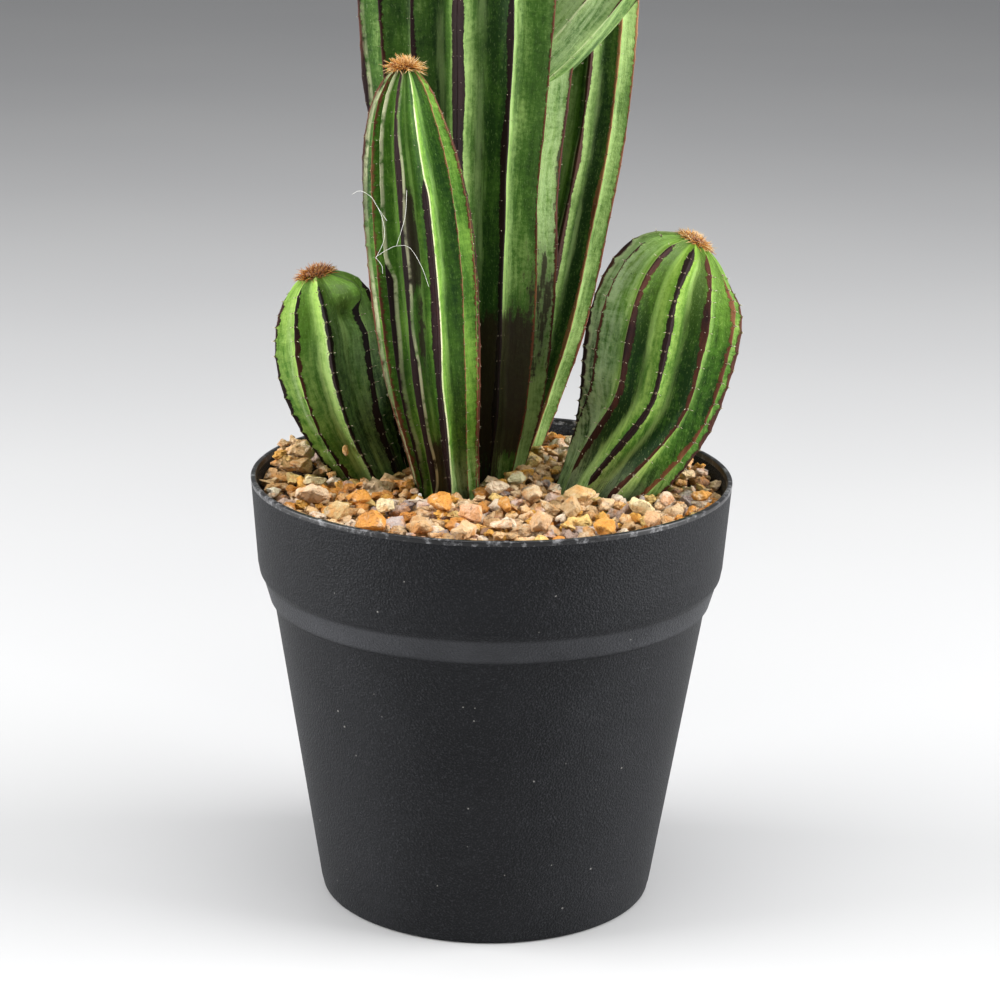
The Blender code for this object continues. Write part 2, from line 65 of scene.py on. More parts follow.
pot_low, pot_high = box_mm("pot")
POT_HEIGHT = pot_high[2]
POT_RIM_RADIUS = (pot_high[1] - pot_low[1]) / 2
POT_BASE_RADIUS = 42.0
POT_WALL = 2.2
POT_FLOOR = 2.4
BAND_DEPTH = 25.8
BAND_DRAFT = 2.0         # the band's lower corner is this much inside the rim
LEDGE_DROP = 5.5
LEDGE_DRAFT = 2.8        # how far the ledge runs in under the band
STEP_IN = 0.8            # small step from the ledge to the lower wall
CORNER_RADIUS = 2.6
FOOT_CHAMFER = 1.2
FOOT_RING_WIDTH = 5.0
FOOT_RECESS = 1.6
FOOT_PAD_RADIUS = 16.0
DRAIN_HOLES = 6
DRAIN_HOLE_RADIUS = 3.5
GRAVEL_BELOW_LIP = 4.3
GRAVEL_MOUND = 2.0
BAND_FOOT = POT_HEIGHT - BAND_DEPTH
LEDGE_FOOT = BAND_FOOT - LEDGE_DROP
FLOOR_TOP = POT_FLOOR + FOOT_RECESS
FOOT_INSIDE = POT_BASE_RADIUS - FOOT_CHAMFER - FOOT_RING_WIDTH
GRAVEL_LEVEL = POT_HEIGHT - GRAVEL_BELOW_LIP

ROOT_DEPTH = 30.0
ROOT_BEND = 14.0
ROOT_SHARE = 0.65
STEM_CLEARANCE = 0.5
TANGENT_STEP = 0.5
PRESS_KNOTS = 21
MAIN_STEM_HEIGHT = 343.0

# ---------------------------------------------------------------- sizes of the looks

POT_SEGMENTS = 288
POT_SMOOTH = 38.0        # degrees; sharper edges of the pot stay sharp in the shading
FOOT_BREAK = 0.4         # broken edges under the foot
LEDGE_FILLET = 0.6
LIP_ROUND = 0.42
GROOVE_DEEPER = 1.15     # the grooves' depth over the CAD part's
RIB_SWAY = 0.022         # how far a crest wanders, as a share of the pitch
SKIN_SINK = 0.12         # how far the skin lies inside the CAD part's radius
NO_STRIPE = -0.5         # half width where a crest isn't painted
GOLDEN_TURN = math.pi * (3 - math.sqrt(5))
THREAD_RADIUS = 0.045
BED_SPAN = 59.0          # half the side of the gravel's height map
BED_CELL = 0.5
STONE_LAYER = 6.5        # depth of the layer that the small stones fill
WALL = 1000.0            # height of the cells where no stone can lie
LOOSE_SCALE = 0.86       # loose stones' size over the CAD part's
GRIT_DEPTH = 5.2         # how far the grit lies under the gravel's top
GRIT_GAP = 0.3           # gap between the grit and the pot's wall
FLOOR_REACH = 12000.0

# ---------------------------------------------------------------- mesh helpers

def add_mesh(name, points, faces, *materials, attributes=None, face_materials=None):
    """Smooth-shaded object from points in millimetres; attributes are vectors, one for each point."""
    mesh = bpy.data.meshes.new(name)
    mesh.from_pydata((np.asarray(points, float) * MM).tolist(), [], faces)
    for label, values in (attributes or {}).items():
        layer = mesh.attributes.new(label, "FLOAT_VECTOR", "POINT")
        layer.data.foreach_set("vector", np.asarray(values, np.float32).ravel())
    for item in materials:
        mesh.materials.append(item)
    if face_materials is not None:
        mesh.polygons.foreach_set("material_index", face_materials)
    mesh.polygons.foreach_set("use_smooth", [True] * len(mesh.polygons))
    mesh.update()
    made = bpy.data.objects.new(name, mesh)
    bpy.context.scene.collection.objects.link(made)
    return made


def place(made, slot, *replaced):
    """Ride the piece on the body and hide the CAD nodes it stands for; its slot is not used."""
    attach(made, BODY)
    if replaced:
        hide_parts(*replaced)
    return made


class Batch:
    """Collects many small meshes into one, with vector attributes for their points."""

    def __init__(self):
        self.points = []
        self.faces = []
        self.values = {}
        self.count = 0

    def add(self, points, faces, **values):
        self.points.append(points)
        self.faces.extend([tuple(i + self.count for i in face) for face in faces])
        for label, value in values.items():
            self.values.setdefault(label, []).append(np.broadcast_to(value, (len(points), 3)))
        self.count += len(points)

    def build(self, name, material):
        values = {label: np.concatenate(parts) for label, parts in self.values.items()}
        return add_mesh(name, np.concatenate(self.points), self.faces, material, attributes=values)


def mesh_arrays(mesh_builder):
    """Points and faces of a bmesh, which is freed."""
    points = np.array([v.co[:] for v in mesh_builder.verts])
    faces = [tuple(v.index for v in face.verts) for face in mesh_builder.faces]
    mesh_builder.free()
    return points, faces


def unit_ball(subdivisions):
    ball = bmesh.new()
    bmesh.ops.create_icosphere(ball, subdivisions=subdivisions, radius=1.0)
    return mesh_arrays(ball)


def ring_faces(rings, count, first=0):
    """Quads between successive rings of a closed sweep."""
    faces = []
    for low in range(first, first + (rings - 1) * count, count):
        for i in range(count):
            j = (i + 1) % count
            faces.append((low + i, low + j, low + count + j, low + count + i))
    return faces


def fan(ring, count, tip, below=False):
    """Triangles from a tip point above or below a ring of points to that ring."""
    sides = [(ring + i, ring + (i + 1) % count) for i in range(count)]
    return [(tip, second, first) if below else (tip, first, second) for first, second in sides]


def round_turn(count):
    return np.linspace(0, 2 * math.pi, count, endpoint=False)


def tube(path, radii, sides):
    """Closed tapered tube along a path."""
    path = np.asarray(path, float)
    tangents = np.gradient(path, axis=0)
    tangents /= np.linalg.norm(tangents, axis=1)[:, None] + 1e-12
    side = np.cross(tangents[0], [0.31, 0.17, 0.93])
    side /= np.linalg.norm(side)
    points = []
    turn = round_turn(sides)
    for centre, tangent, radius in zip(path, tangents, radii):
        side = side - tangent * (side @ tangent)
        side /= np.linalg.norm(side)
        other = np.cross(tangent, side)
        points.append(centre + radius * (np.outer(np.cos(turn), side) + np.outer(np.sin(turn), other)))
    faces = ring_faces(len(path), sides)
    faces.append(tuple(reversed(range(sides))))
    faces.append(tuple(range((len(path) - 1) * sides, len(path) * sides)))
    return np.concatenate(points), faces


def smoothstep(low, high, value):
    share = np.clip((np.asarray(value, float) - low) / (high - low), 0.0, 1.0)
    return share * share * (3 - 2 * share)


# ---------------------------------------------------------------- material helpers

class Graph:
    """Builds a Principled material from procedural nodes."""

    def __init__(self, name, **constants):
        self.material = bpy.data.materials.new(name)
        self.material.use_nodes = True
        self.tree = self.material.node_tree
        self.shader = self.tree.nodes["Principled BSDF"]
        for label, value in constants.items():
            self.shader.inputs[label.replace("_", " ")].default_value = value

    def add(self, kind, values=None, **settings):
        made = self.tree.nodes.new(kind)
        for label, value in settings.items():
            setattr(made, label, value)
        for label, value in (values or {}).items():
            self.feed(made.inputs[label], value)
        return made

    def feed(self, socket, value):
        """Link a socket, or set it to a number, a vector or a color."""
        if isinstance(value, bpy.types.NodeSocket):
            self.tree.links.new(value, socket)
        elif isinstance(value, tuple) and len(value) == 3 and socket.type == "RGBA":
            socket.default_value = (*value, 1.0)
        else:
            socket.default_value = value

    def attribute(self, name):
        return self.add("ShaderNodeAttribute", attribute_name=name).outputs["Vector"]

    def split(self, vector):
        made = self.add("ShaderNodeSeparateXYZ", {0: vector})
        return made.outputs[0], made.outputs[1], made.outputs[2]

    def position(self):
        return self.add("ShaderNodeTexCoord").outputs["Object"]

    def scaled(self, vector, *factors):
        return self.add("ShaderNodeVectorMath", {0: vector, 1: factors}, operation="MULTIPLY").outputs[0]

    def math(self, operation, first, second, third=0.0):
        return self.add("ShaderNodeMath", {0: first, 1: second, 2: third}, operation=operation).outputs[0]

    def times(self, first, second):
        return self.math("MULTIPLY", first, second)

    def total(self, first, *others):
        for other in others:
            first = self.math("ADD", first, other)
        return first

    def between(self, low, high, share):
        """Number from low to high as a node's value goes from 0 to 1."""
        return self.math("MULTIPLY_ADD", share, high - low, low)

    def centred(self, value, size):
        """A node's value as a swing around 0."""
        return self.times(self.math("SUBTRACT", value, 0.5), size)

    def step(self, value, low, high):
        """Smooth 0 to 1 as value goes from low to high."""
        made = self.add("ShaderNodeMapRange", {0: value, 1: low, 2: high}, interpolation_type="SMOOTHSTEP")
        return made.outputs[0]

    def noise(self, vector, scale, detail=3.0, roughness=0.5):
        values = {"Vector": vector, "Scale": scale, "Detail": detail, "Roughness": roughness}
        return self.add("ShaderNodeTexNoise", values).outputs["Fac"]

    def cells(self, vector, scale):
        return self.add("ShaderNodeTexVoronoi", {"Vector": vector, "Scale": scale}).outputs["Distance"]

    def mix(self, factor, first, second, blend="MIX"):
        values = {0: factor, 6: first, 7: second}
        return self.add("ShaderNodeMix", values, data_type="RGBA", blend_type=blend).outputs[2]

    def ramp(self, factor, *stops):
        made = self.add("ShaderNodeValToRGB", {"Fac": factor})
        elements = made.color_ramp.elements
        while len(elements) < len(stops):
            elements.new(0.5)
        for element, (place_at, color) in zip(elements, stops):
            element.position = place_at
            element.color = (*color, 1.0)
        return made.outputs["Color"]

    def finish(self, color, rough, height=None, distance=0.0, strength=1.0):
        """Material with this color and roughness, its surface raised by a height."""
        self.feed(self.shader.inputs["Base Color"], color)
        self.feed(self.shader.inputs["Roughness"], rough)
        if height is not None:
            values = {"Height": height, "Distance": distance, "Strength": strength}
            relief = self.add("ShaderNodeBump", values)
            self.feed(self.shader.inputs["Normal"], relief.outputs["Normal"])
        return self.material


# ---------------------------------------------------------------- materials

def plastic_material():
    """Moulded charcoal plastic with a fine pebble grain, pale dust and a painted reflection of the table on
    the ledge.
    """
    g = Graph("charcoal plastic", IOR=1.48, Specular_IOR_Level=0.14)
    at = g.position()
    grain = g.noise(at, 2300.0, 2.0, 0.6)
    broad = g.noise(at, 45.0)
    specks = g.step(g.cells(at, 260.0), 0.08, 0.045)
    dust = g.times(specks, g.step(g.noise(at, 320.0, 0.0), 0.60, 0.66))
    scuff = g.step(g.noise(g.scaled(at, 1.0, 1.0, 3.0), 60.0, 5.0, 0.7), 0.58, 0.8)
    base = g.ramp(broad, (0.3, (0.0055, 0.0060, 0.0072)), (0.7, (0.0090, 0.0096, 0.0112)))
    base = g.mix(g.times(g.step(grain, 0.50, 0.72), 0.60), base, (0.040, 0.041, 0.046))
    base = g.mix(g.times(scuff, 0.14), base, (0.06, 0.061, 0.065))
    # painted reflection: the ledge is made paler where it would catch light from the pale table
    height_at = g.split(at)[2]
    band_foot = BAND_FOOT * MM
    ledge = g.times(g.step(height_at, band_foot - 0.0062, band_foot - 0.0046),
                    g.step(height_at, band_foot + 0.0010, band_foot - 0.0004))
    base = g.mix(g.times(ledge, g.times(broad, 0.70)), base, (0.075, 0.077, 0.084))
    base = g.mix(g.times(dust, 0.7), base, (0.35, 0.34, 0.32))
    height = g.total(grain, g.times(g.cells(at, 1700.0), 0.8))
    return g.finish(base, g.between(0.42, 0.58, grain), height, 0.00028, 0.7)


def lip_material():
    """The same plastic rubbed smooth at the lip, with worn pale nicks."""
    g = Graph("rubbed lip plastic", IOR=1.5, Specular_IOR_Level=0.35)
    at = g.position()
    worn = g.step(g.noise(at, 420.0, 6.0, 0.75), 0.50, 0.66)
    base = g.mix(g.times(worn, 0.55), (0.010, 0.010, 0.011), (0.34, 0.34, 0.35))
    return g.finish(base, g.between(0.22, 0.42, g.noise(at, 500.0)), g.noise(at, 900.0), 0.00012, 0.4)


def skin_material(name, dark, middle, light, stripe):
    """Waxy ribbed skin: lengthwise streaks, dark painted crests with pale lines that are partly painted
    highlights, painted flank light and shade, stained patches.

    It reads these attributes of the mesh:
    skin_at     place on an unrolled stem, mm
    rib_map     distance from the crest and stripe's half width, mm; share of the way to the groove
    rib_paint   stripe's tone, pale line beside the crest, its own pale rim and a painted highlight (below 0 on the crest's other side), stain
    rib_shade   yellow-green near the tip, how light the green is (its own tone and painted light and shade on the flanks), ashy bloom
    """
    g = Graph(name, IOR=1.45, Specular_IOR_Level=0.20)
    at = g.attribute("skin_at")
    crest, half_width, groove = g.split(g.attribute("rib_map"))
    tone, pale_rim_and_highlight, stain = g.split(g.attribute("rib_paint"))
    glow, green_tone_and_shade, ash = g.split(g.attribute("rib_shade"))
    fibres = g.noise(g.scaled(at, 1.0, 1.0, 0.10), 1.1, 4.0, 0.62)
    strands = g.noise(g.scaled(at, 1.0, 1.0, 0.06), 0.55, 3.0, 0.6)
    fine = g.noise(g.scaled(at, 1.0, 1.0, 0.25), 4.5, 3.0, 0.6)
    cloud = g.noise(at, 0.11, 4.0, 0.6)
    mottle = g.noise(at, 0.9, 5.0, 0.7)
    # greens, made lighter and darker by the painted light and shade on the flanks
    share = g.total(green_tone_and_shade, g.centred(fibres, 0.75), g.centred(strands, 0.60), g.centred(cloud, 0.60),
                    g.centred(mottle, 0.75))
    green = g.ramp(share, (0.08, dark), (0.46, middle), (0.92, light))
    pale = tuple(1.2 * c + 0.05 for c in light)
    streak = g.step(g.total(groove, g.centred(fibres, 0.6)), 0.66, 0.98)
    streak = g.times(streak, g.step(g.noise(g.scaled(at, 1.0, 1.0, 0.35), 0.12, 2.0), 0.34, 0.62))
    green = g.mix(g.times(streak, 0.42), green, pale)
    green = g.mix(glow, green, (0.24, 0.40, 0.035))
    bloom = g.times(ash, g.step(g.total(fibres, g.centred(mottle, 0.5)), 0.25, 0.65))
    green = g.mix(bloom, green, (0.35, 0.44, 0.25))
    green = g.mix(g.times(g.step(fine, 0.56, 0.70), 0.22), green, pale)
    pits = g.step(g.cells(at, 0.34), 0.055, 0.03)
    green = g.mix(g.times(pits, 0.8), green, (0.012, 0.02, 0.006))
    # stained patches, ragged along the fibres
    ragged = g.total(stain, g.centred(fibres, 1.5), g.centred(mottle, 0.7))
    stained = g.times(g.step(ragged, 0.38, 0.66), g.step(stain, 0.02, 0.2))
    green = g.mix(g.times(stained, 0.9), green, (0.024, 0.011, 0.009))
    # crest stripe
    wander = g.total(g.centred(fine, 0.6), g.centred(mottle, 0.7))
    mask = g.step(g.math("SUBTRACT", half_width, g.total(crest, wander)), -0.09, 0.12)
    browns = g.ramp(g.total(tone, g.centred(fibres, 0.40)), (0.0, (0.007, 0.003, 0.003)), (0.3, stripe),
                    (0.65, (0.14, 0.042, 0.020)), (1.0, (0.38, 0.19, 0.08)))
    browns = g.mix(g.times(g.step(mottle, 0.58, 0.78), 0.20), browns, (0.09, 0.036, 0.028))
    skin = g.mix(mask, green, browns)
    # pale line along one side of the crest: partly its own pale rim, partly a painted highlight on its lit
    # side
    beyond = g.math("SUBTRACT", crest, g.math("MAXIMUM", half_width, 0.0))
    line = g.times(g.step(beyond, -0.20, 0.0), g.step(beyond, 0.60, 0.28))
    line = g.times(line, g.math("MAXIMUM", pale_rim_and_highlight, 0.0))
    line = g.times(line, g.step(g.noise(g.scaled(at, 1.0, 1.0, 0.5), 0.7), 0.28, 0.50))
    skin = g.mix(line, skin, (0.62, 0.62, 0.38))
    # surface
    rough = g.total(g.between(0.34, 0.56, mottle), g.times(mask, 0.20))
    height = g.total(g.times(fine, 0.5), g.times(mottle, 0.9), g.times(fibres, 1.2), g.times(mask, 0.9))
    return g.finish(skin, rough, height, 0.00030, 0.6)


def stone_material():
    """Water-worn gravel: a tint for each stone, rust stains, dark crevices, pale veins and a dull polish."""
    g = Graph("river gravel", IOR=1.5)
    at = g.position()
    rust = g.step(g.noise(at, 230.0, 5.0, 0.65), 0.48, 0.64)
    speckle = g.noise(at, 1500.0, 4.0, 0.7)
    pale = g.step(g.noise(at, 420.0), 0.55, 0.72)
    crevice = g.step(g.noise(at, 700.0, 5.0, 0.7), 0.44, 0.30)
    color = g.mix(g.times(rust, 0.62), g.attribute("stone_tint"), (0.62, 0.23, 0.020))
    color = g.mix(g.times(crevice, 0.65), color, (0.17, 0.075, 0.025))
    color = g.mix(g.times(pale, 0.55), color, (0.86, 0.72, 0.52))
    color = g.mix(g.times(g.step(speckle, 0.55, 0.75), 0.35), color, (0.12, 0.06, 0.03), "MULTIPLY")
    rough = g.between(0.26, 0.61, g.noise(at, 300.0, 2.0))
    height = g.total(g.times(speckle, 0.7), g.times(g.noise(at, 600.0, 5.0, 0.6), 2.2))
    return g.finish(color, rough, height, 0.0009, 0.9)


def grit_in_painted_shade_material():
    """Fine grit between the stones, kept dark as painted shade in the gaps, with painted shade between its
    grains.
    """
    g = Graph("packed grit in painted shade", IOR=1.45)
    at = g.position()
    grain = g.cells(at, 420.0)
    color = g.ramp(g.noise(at, 320.0, 4.0, 0.6), (0.3, (0.10, 0.055, 0.028)), (0.55, (0.30, 0.18, 0.09)),
                   (0.75, (0.45, 0.30, 0.16)))
    # painted shade between the grains
    color = g.mix(g.step(grain, 0.55, 0.2), (0.03, 0.018, 0.01), color)
    return g.finish(color, 0.8, grain, 0.0015, 0.9)


def soil_material():
    """Dark crumbly potting mix with a few pale grains."""
    g = Graph("potting mix", IOR=1.4)
    at = g.position()
    color = g.ramp(g.noise(at, 260.0, 5.0, 0.7), (0.3, (0.012, 0.008, 0.005)), (0.7, (0.06, 0.038, 0.022)))
    color = g.mix(g.step(g.cells(at, 190.0), 0.12, 0.07), color, (0.5, 0.48, 0.42))
    return g.finish(color, 0.92, g.cells(at, 500.0), 0.001, 0.9)


def bristle_material():
    """Bristles: rusty at the root, straw-coloured to pale at the tip."""
    g = Graph("bristles", IOR=1.5)
    along, shade, _ = g.split(g.attribute("bristle_map"))
    color = g.ramp(g.total(along, g.centred(shade, 1.3)), (0.0, (0.07, 0.018, 0.006)),
                   (0.35, (0.42, 0.13, 0.015)), (0.8, (0.72, 0.36, 0.05)), (1.0, (0.80, 0.58, 0.28)))
    return g.finish(g.mix(g.times(g.noise(g.position(), 2500.0, 2.0), 0.4), color, (0.30, 0.10, 0.03)), 0.5)


def spine_material():
    """Short horny spines, darker at the root."""
    g = Graph("spines", IOR=1.5)
    along, shade, _ = g.split(g.attribute("bristle_map"))
    color = g.ramp(along, (0.0, (0.13, 0.06, 0.03)), (0.35, (0.55, 0.47, 0.30)), (1.0, (0.85, 0.82, 0.68)))
    return g.finish(g.mix(g.times(shade, 0.5), color, (0.16, 0.09, 0.05)), 0.42)


def flecked_material(name, noise_settings, low, high, rough, relief=None, **constants):
    """Material of one noise that runs between two (place, color) stops and can raise the surface."""
    g = Graph(name, **constants)
    flecks = g.noise(g.position(), *noise_settings)
    return g.finish(g.ramp(flecks, low, high), rough, flecks if relief else None, *(relief or ()))


# ---------------------------------------------------------------- pot

def pot_outer(z):
    """Outer radius of the lower wall at a height."""
    wall_top = POT_RIM_RADIUS - BAND_DRAFT - LEDGE_DRAFT - STEP_IN
    return POT_BASE_RADIUS + (wall_top - POT_BASE_RADIUS) * z / LEDGE_FOOT


def band_outer(z):
    return POT_RIM_RADIUS - BAND_DRAFT * (POT_HEIGHT - z) / BAND_DEPTH


def pot_inner(z):
    """Inner radius of the pot at a height above the floor."""
    if z <= LEDGE_FOOT:
        return pot_outer(z) - POT_WALL
    if z <= BAND_FOOT:
        low = pot_outer(LEDGE_FOOT) - POT_WALL
        return low + (POT_RIM_RADIUS - BAND_DRAFT - POT_WALL - low) * (z - LEDGE_FOOT) / LEDGE_DROP
    return band_outer(z) - POT_WALL


def arc(centre, radius, start, end, steps):
    """Points of an arc between two directions in degrees."""
    angles = np.radians(np.linspace(start, end, steps + 1))
    return [(centre[0] + radius * math.cos(a), centre[1] + radius * math.sin(a)) for a in angles]


def pot_profile():
    """Radius and height along the shell's section, and which points are on the rubbed lip."""
    band_radius = POT_RIM_RADIUS - BAND_DRAFT
    ledge_radius = band_radius - LEDGE_DRAFT
    foot_edge = POT_BASE_RADIUS - FOOT_CHAMFER
    profile = [(0.0, 0.0), (FOOT_PAD_RADIUS - FOOT_BREAK, 0.0), (FOOT_PAD_RADIUS, FOOT_BREAK),
               (FOOT_PAD_RADIUS, FOOT_RECESS), (FOOT_INSIDE, FOOT_RECESS), (FOOT_INSIDE, FOOT_BREAK),
               (FOOT_INSIDE + FOOT_BREAK, 0.0)]
    profile += arc((foot_edge, FOOT_CHAMFER), FOOT_CHAMFER, -90, 0, 6)
    profile += [(pot_outer(z), z) for z in np.linspace(3.0, LEDGE_FOOT - 1.6, 12)]
    profile += arc((pot_outer(LEDGE_FOOT) + LEDGE_FILLET, LEDGE_FOOT - 0.9), LEDGE_FILLET, 180, 108, 4)
    profile += arc((ledge_radius - 0.25, LEDGE_FOOT + 0.35), 0.45, -60, -20, 3)
    profile.append((ledge_radius + 0.28 * LEDGE_DRAFT, LEDGE_FOOT + 0.42 * LEDGE_DROP))
    profile += arc((band_radius - CORNER_RADIUS, BAND_FOOT + CORNER_RADIUS), CORNER_RADIUS, -48.0, 0.0, 8)
    lip_start = len(profile) + 5
    profile += [(band_outer(z), z) for z in np.linspace(BAND_FOOT + CORNER_RADIUS + 1.5, POT_HEIGHT - 1.3, 6)]
    profile += arc((POT_RIM_RADIUS - LIP_ROUND, POT_HEIGHT - LIP_ROUND), LIP_ROUND, 0, 90, 5)
    profile += arc((POT_RIM_RADIUS - 0.85, POT_HEIGHT - LIP_ROUND), LIP_ROUND, 90, 180, 5)
    lip_end = len(profile)
    profile += [(POT_RIM_RADIUS - 1.45, POT_HEIGHT - 1.5), (pot_inner(POT_HEIGHT) + 0.05, POT_HEIGHT - 2.4)]
    profile += [(pot_inner(z), z)
                for z in (POT_HEIGHT - 4, POT_HEIGHT - 9, POT_HEIGHT - 16, BAND_FOOT, LEDGE_FOOT, 40.0)]
    floor_radius = pot_inner(FLOOR_TOP)
    profile += [(floor_radius - 0.1, FLOOR_TOP + 1.0), (floor_radius - 1.0, FLOOR_TOP), (0.0, FLOOR_TOP)]
    return profile, range(lip_start, lip_end)


def build_pot(plastic, rubbed):
    """Turned shell with rounded lip, band corner, ledge and foot, and drain holes in its floor."""
    profile, lip = pot_profile()
    points = [(0.0, 0.0, 0.0)]
    for radius, z in profile[1:-1]:
        points += [(radius * math.cos(a), radius * math.sin(a), z) for a in round_turn(POT_SEGMENTS)]
    points.append((0.0, 0.0, FLOOR_TOP))
    rings = len(profile) - 2
    top = len(points) - 1
    faces = fan(1, POT_SEGMENTS, 0, True) + ring_faces(rings, POT_SEGMENTS, 1)
    faces += fan(top - POT_SEGMENTS, POT_SEGMENTS, top)
    rubbed_faces = [int(ring in lip) for ring in range(rings + 1) for _ in range(POT_SEGMENTS)]
    shell = add_mesh("pot_shell", points, faces, plastic, rubbed, face_materials=rubbed_faces)
    ring_radius = (FOOT_PAD_RADIUS + FOOT_INSIDE) / 2
    drills = Batch()
    for number in range(DRAIN_HOLES):
        bearing = 2 * math.pi * (number + 0.5) / DRAIN_HOLES
        path = [(ring_radius * math.cos(bearing), ring_radius * math.sin(bearing), z)
                for z in (FOOT_RECESS - 4.0, FOOT_RECESS, FLOOR_TOP, FLOOR_TOP + 4.0)]
        drills.add(*tube(path, [DRAIN_HOLE_RADIUS] * 4, 40))
    cutter = drills.build("drills", plastic)
    step = shell.modifiers.new("holes", "BOOLEAN")
    step.operation = "DIFFERENCE"
    step.solver = "EXACT"
    step.object = cutter
    bpy.context.view_layer.update()
    cut = bpy.data.meshes.new_from_object(shell.evaluated_get(bpy.context.evaluated_depsgraph_get()))
    shell.modifiers.clear()
    shell.data = cut
    bpy.data.objects.remove(cutter)
    cut.set_sharp_from_angle(angle=math.radians(POT_SMOOTH))
    return shell


# ---------------------------------------------------------------- stems

def curve_through(knots, values, samples):
    """Smooth curve through the values at the knots, read at the samples."""
    knots = np.asarray(knots, float)
    values = np.asarray(values, float)
    flat = values.ndim == 1
    if flat:
        values = values[:, None]
    slopes = np.gradient(values, knots, axis=0)
    index = np.clip(np.searchsorted(knots, samples, side="right") - 1, 0, len(knots) - 2)
    width = (knots[index + 1] - knots[index])[:, None]
    t = (np.asarray(samples) - knots[index])[:, None] / width
    result = ((2 * t**3 - 3 * t**2 + 1) * values[index]
              + (t**3 - 2 * t**2 + t) * width * slopes[index]
              + (3 * t**2 - 2 * t**3) * values[index + 1]
              + (t**3 - t**2) * width * slopes[index + 1])
    return result[:, 0] if flat else result


class Stem:
    """A ribbed stem swept up a curved axis, with the same path and girth as the CAD part's."""

    def __init__(self, name, path, girth, crown, ribs, groove, tuft, twist=0.0, buried=True):
        self.name = name
        self.short = name.replace("_stem", "")
        self.nod = np.zeros(3)
        self.crown = crown
        self.ribs = sorted(ribs)
        self.groove = groove
        self.tuft = tuft
        self.twist = twist
        self.buried = buried
        points = np.array(path, float)
        points[:, 2] += GRAVEL_LEVEL
        chord = np.linalg.norm(np.diff(points, axis=0), axis=1)
        self.knots = np.concatenate([[0.0], np.cumsum(chord)])
        self.points = points
        self.length = self.knots[-1]
        self.girth = girth

    def radius(self, station):
        """Radius over the crests at distances along the axis from the gravel's level."""
        station = np.asarray(station, float)
        shoulder = self.length - self.crown
        shares, radii = zip(*self.girth)
        body = curve_through(np.array(shares) * self.length, radii,
                             np.clip(station, 0.0, shares[-1] * self.length))
        rise = np.clip((station - shoulder) / self.crown, 0.0, 1.0)
        closing = np.sqrt(np.maximum(1.0 - rise**2, 0.0))
        depth = np.clip(-station / ROOT_DEPTH, 0.0, 1.0)
        return body * closing * (1.0 - (1.0 - ROOT_SHARE) * depth)

    def axis(self, station):
        station = np.asarray(station, float)
        point = curve_through(self.knots, self.points, np.clip(station, 0.0, self.length))
        lean = (self.points[1, :2] - self.points[0, :2]) / self.knots[1]
        depth = np.minimum(station, 0.0)
        bend = np.maximum(depth, -ROOT_BEND)
        point[:, :2] += np.outer(bend + bend**2 / (2 * ROOT_BEND), lean)
        point[:, 2] += depth
        rise = np.clip((station - self.length + self.crown) / self.crown, 0.0, 1.0)
        return point + np.outer(rise**2, self.nod)

    def frames(self, station):
        """Centre, tangent, and directions of bearings 0 and 90, at distances along the axis."""
        station = np.asarray(station, float)
        centres = self.axis(station)
        ahead = np.minimum(station + TANGENT_STEP, self.length)
        tangents = self.axis(ahead) - self.axis(ahead - 2 * TANGENT_STEP)
        tangents /= np.linalg.norm(tangents, axis=1)[:, None]
        front = np.array([0.0, -1.0, 0.0])
        forward = front - (tangents @ front)[:, None] * tangents
        forward /= np.linalg.norm(forward, axis=1)[:, None]
        return centres, tangents, forward, np.cross(tangents, forward)


def press_outward(stem, main):
    """Move a side stem's axis out wherever it would come too close to the main stem."""
    knots = np.linspace(0.0, stem.length, PRESS_KNOTS)
    stem.points = stem.axis(knots)
    stem.knots = knots
    heights = main.points[:, 2]
    for number, point in enumerate(stem.points):
        along = np.interp(point[2], heights, main.knots)
        centre = main.axis([along])[0]
        offset = point[:2] - centre[:2]
        reach = main.radius([along])[0] + stem.radius([knots[number]])[0] + STEM_CLEARANCE
        distance = np.linalg.norm(offset)
        if distance < reach:
            stem.points[number, :2] = centre[:2] + offset * reach / distance


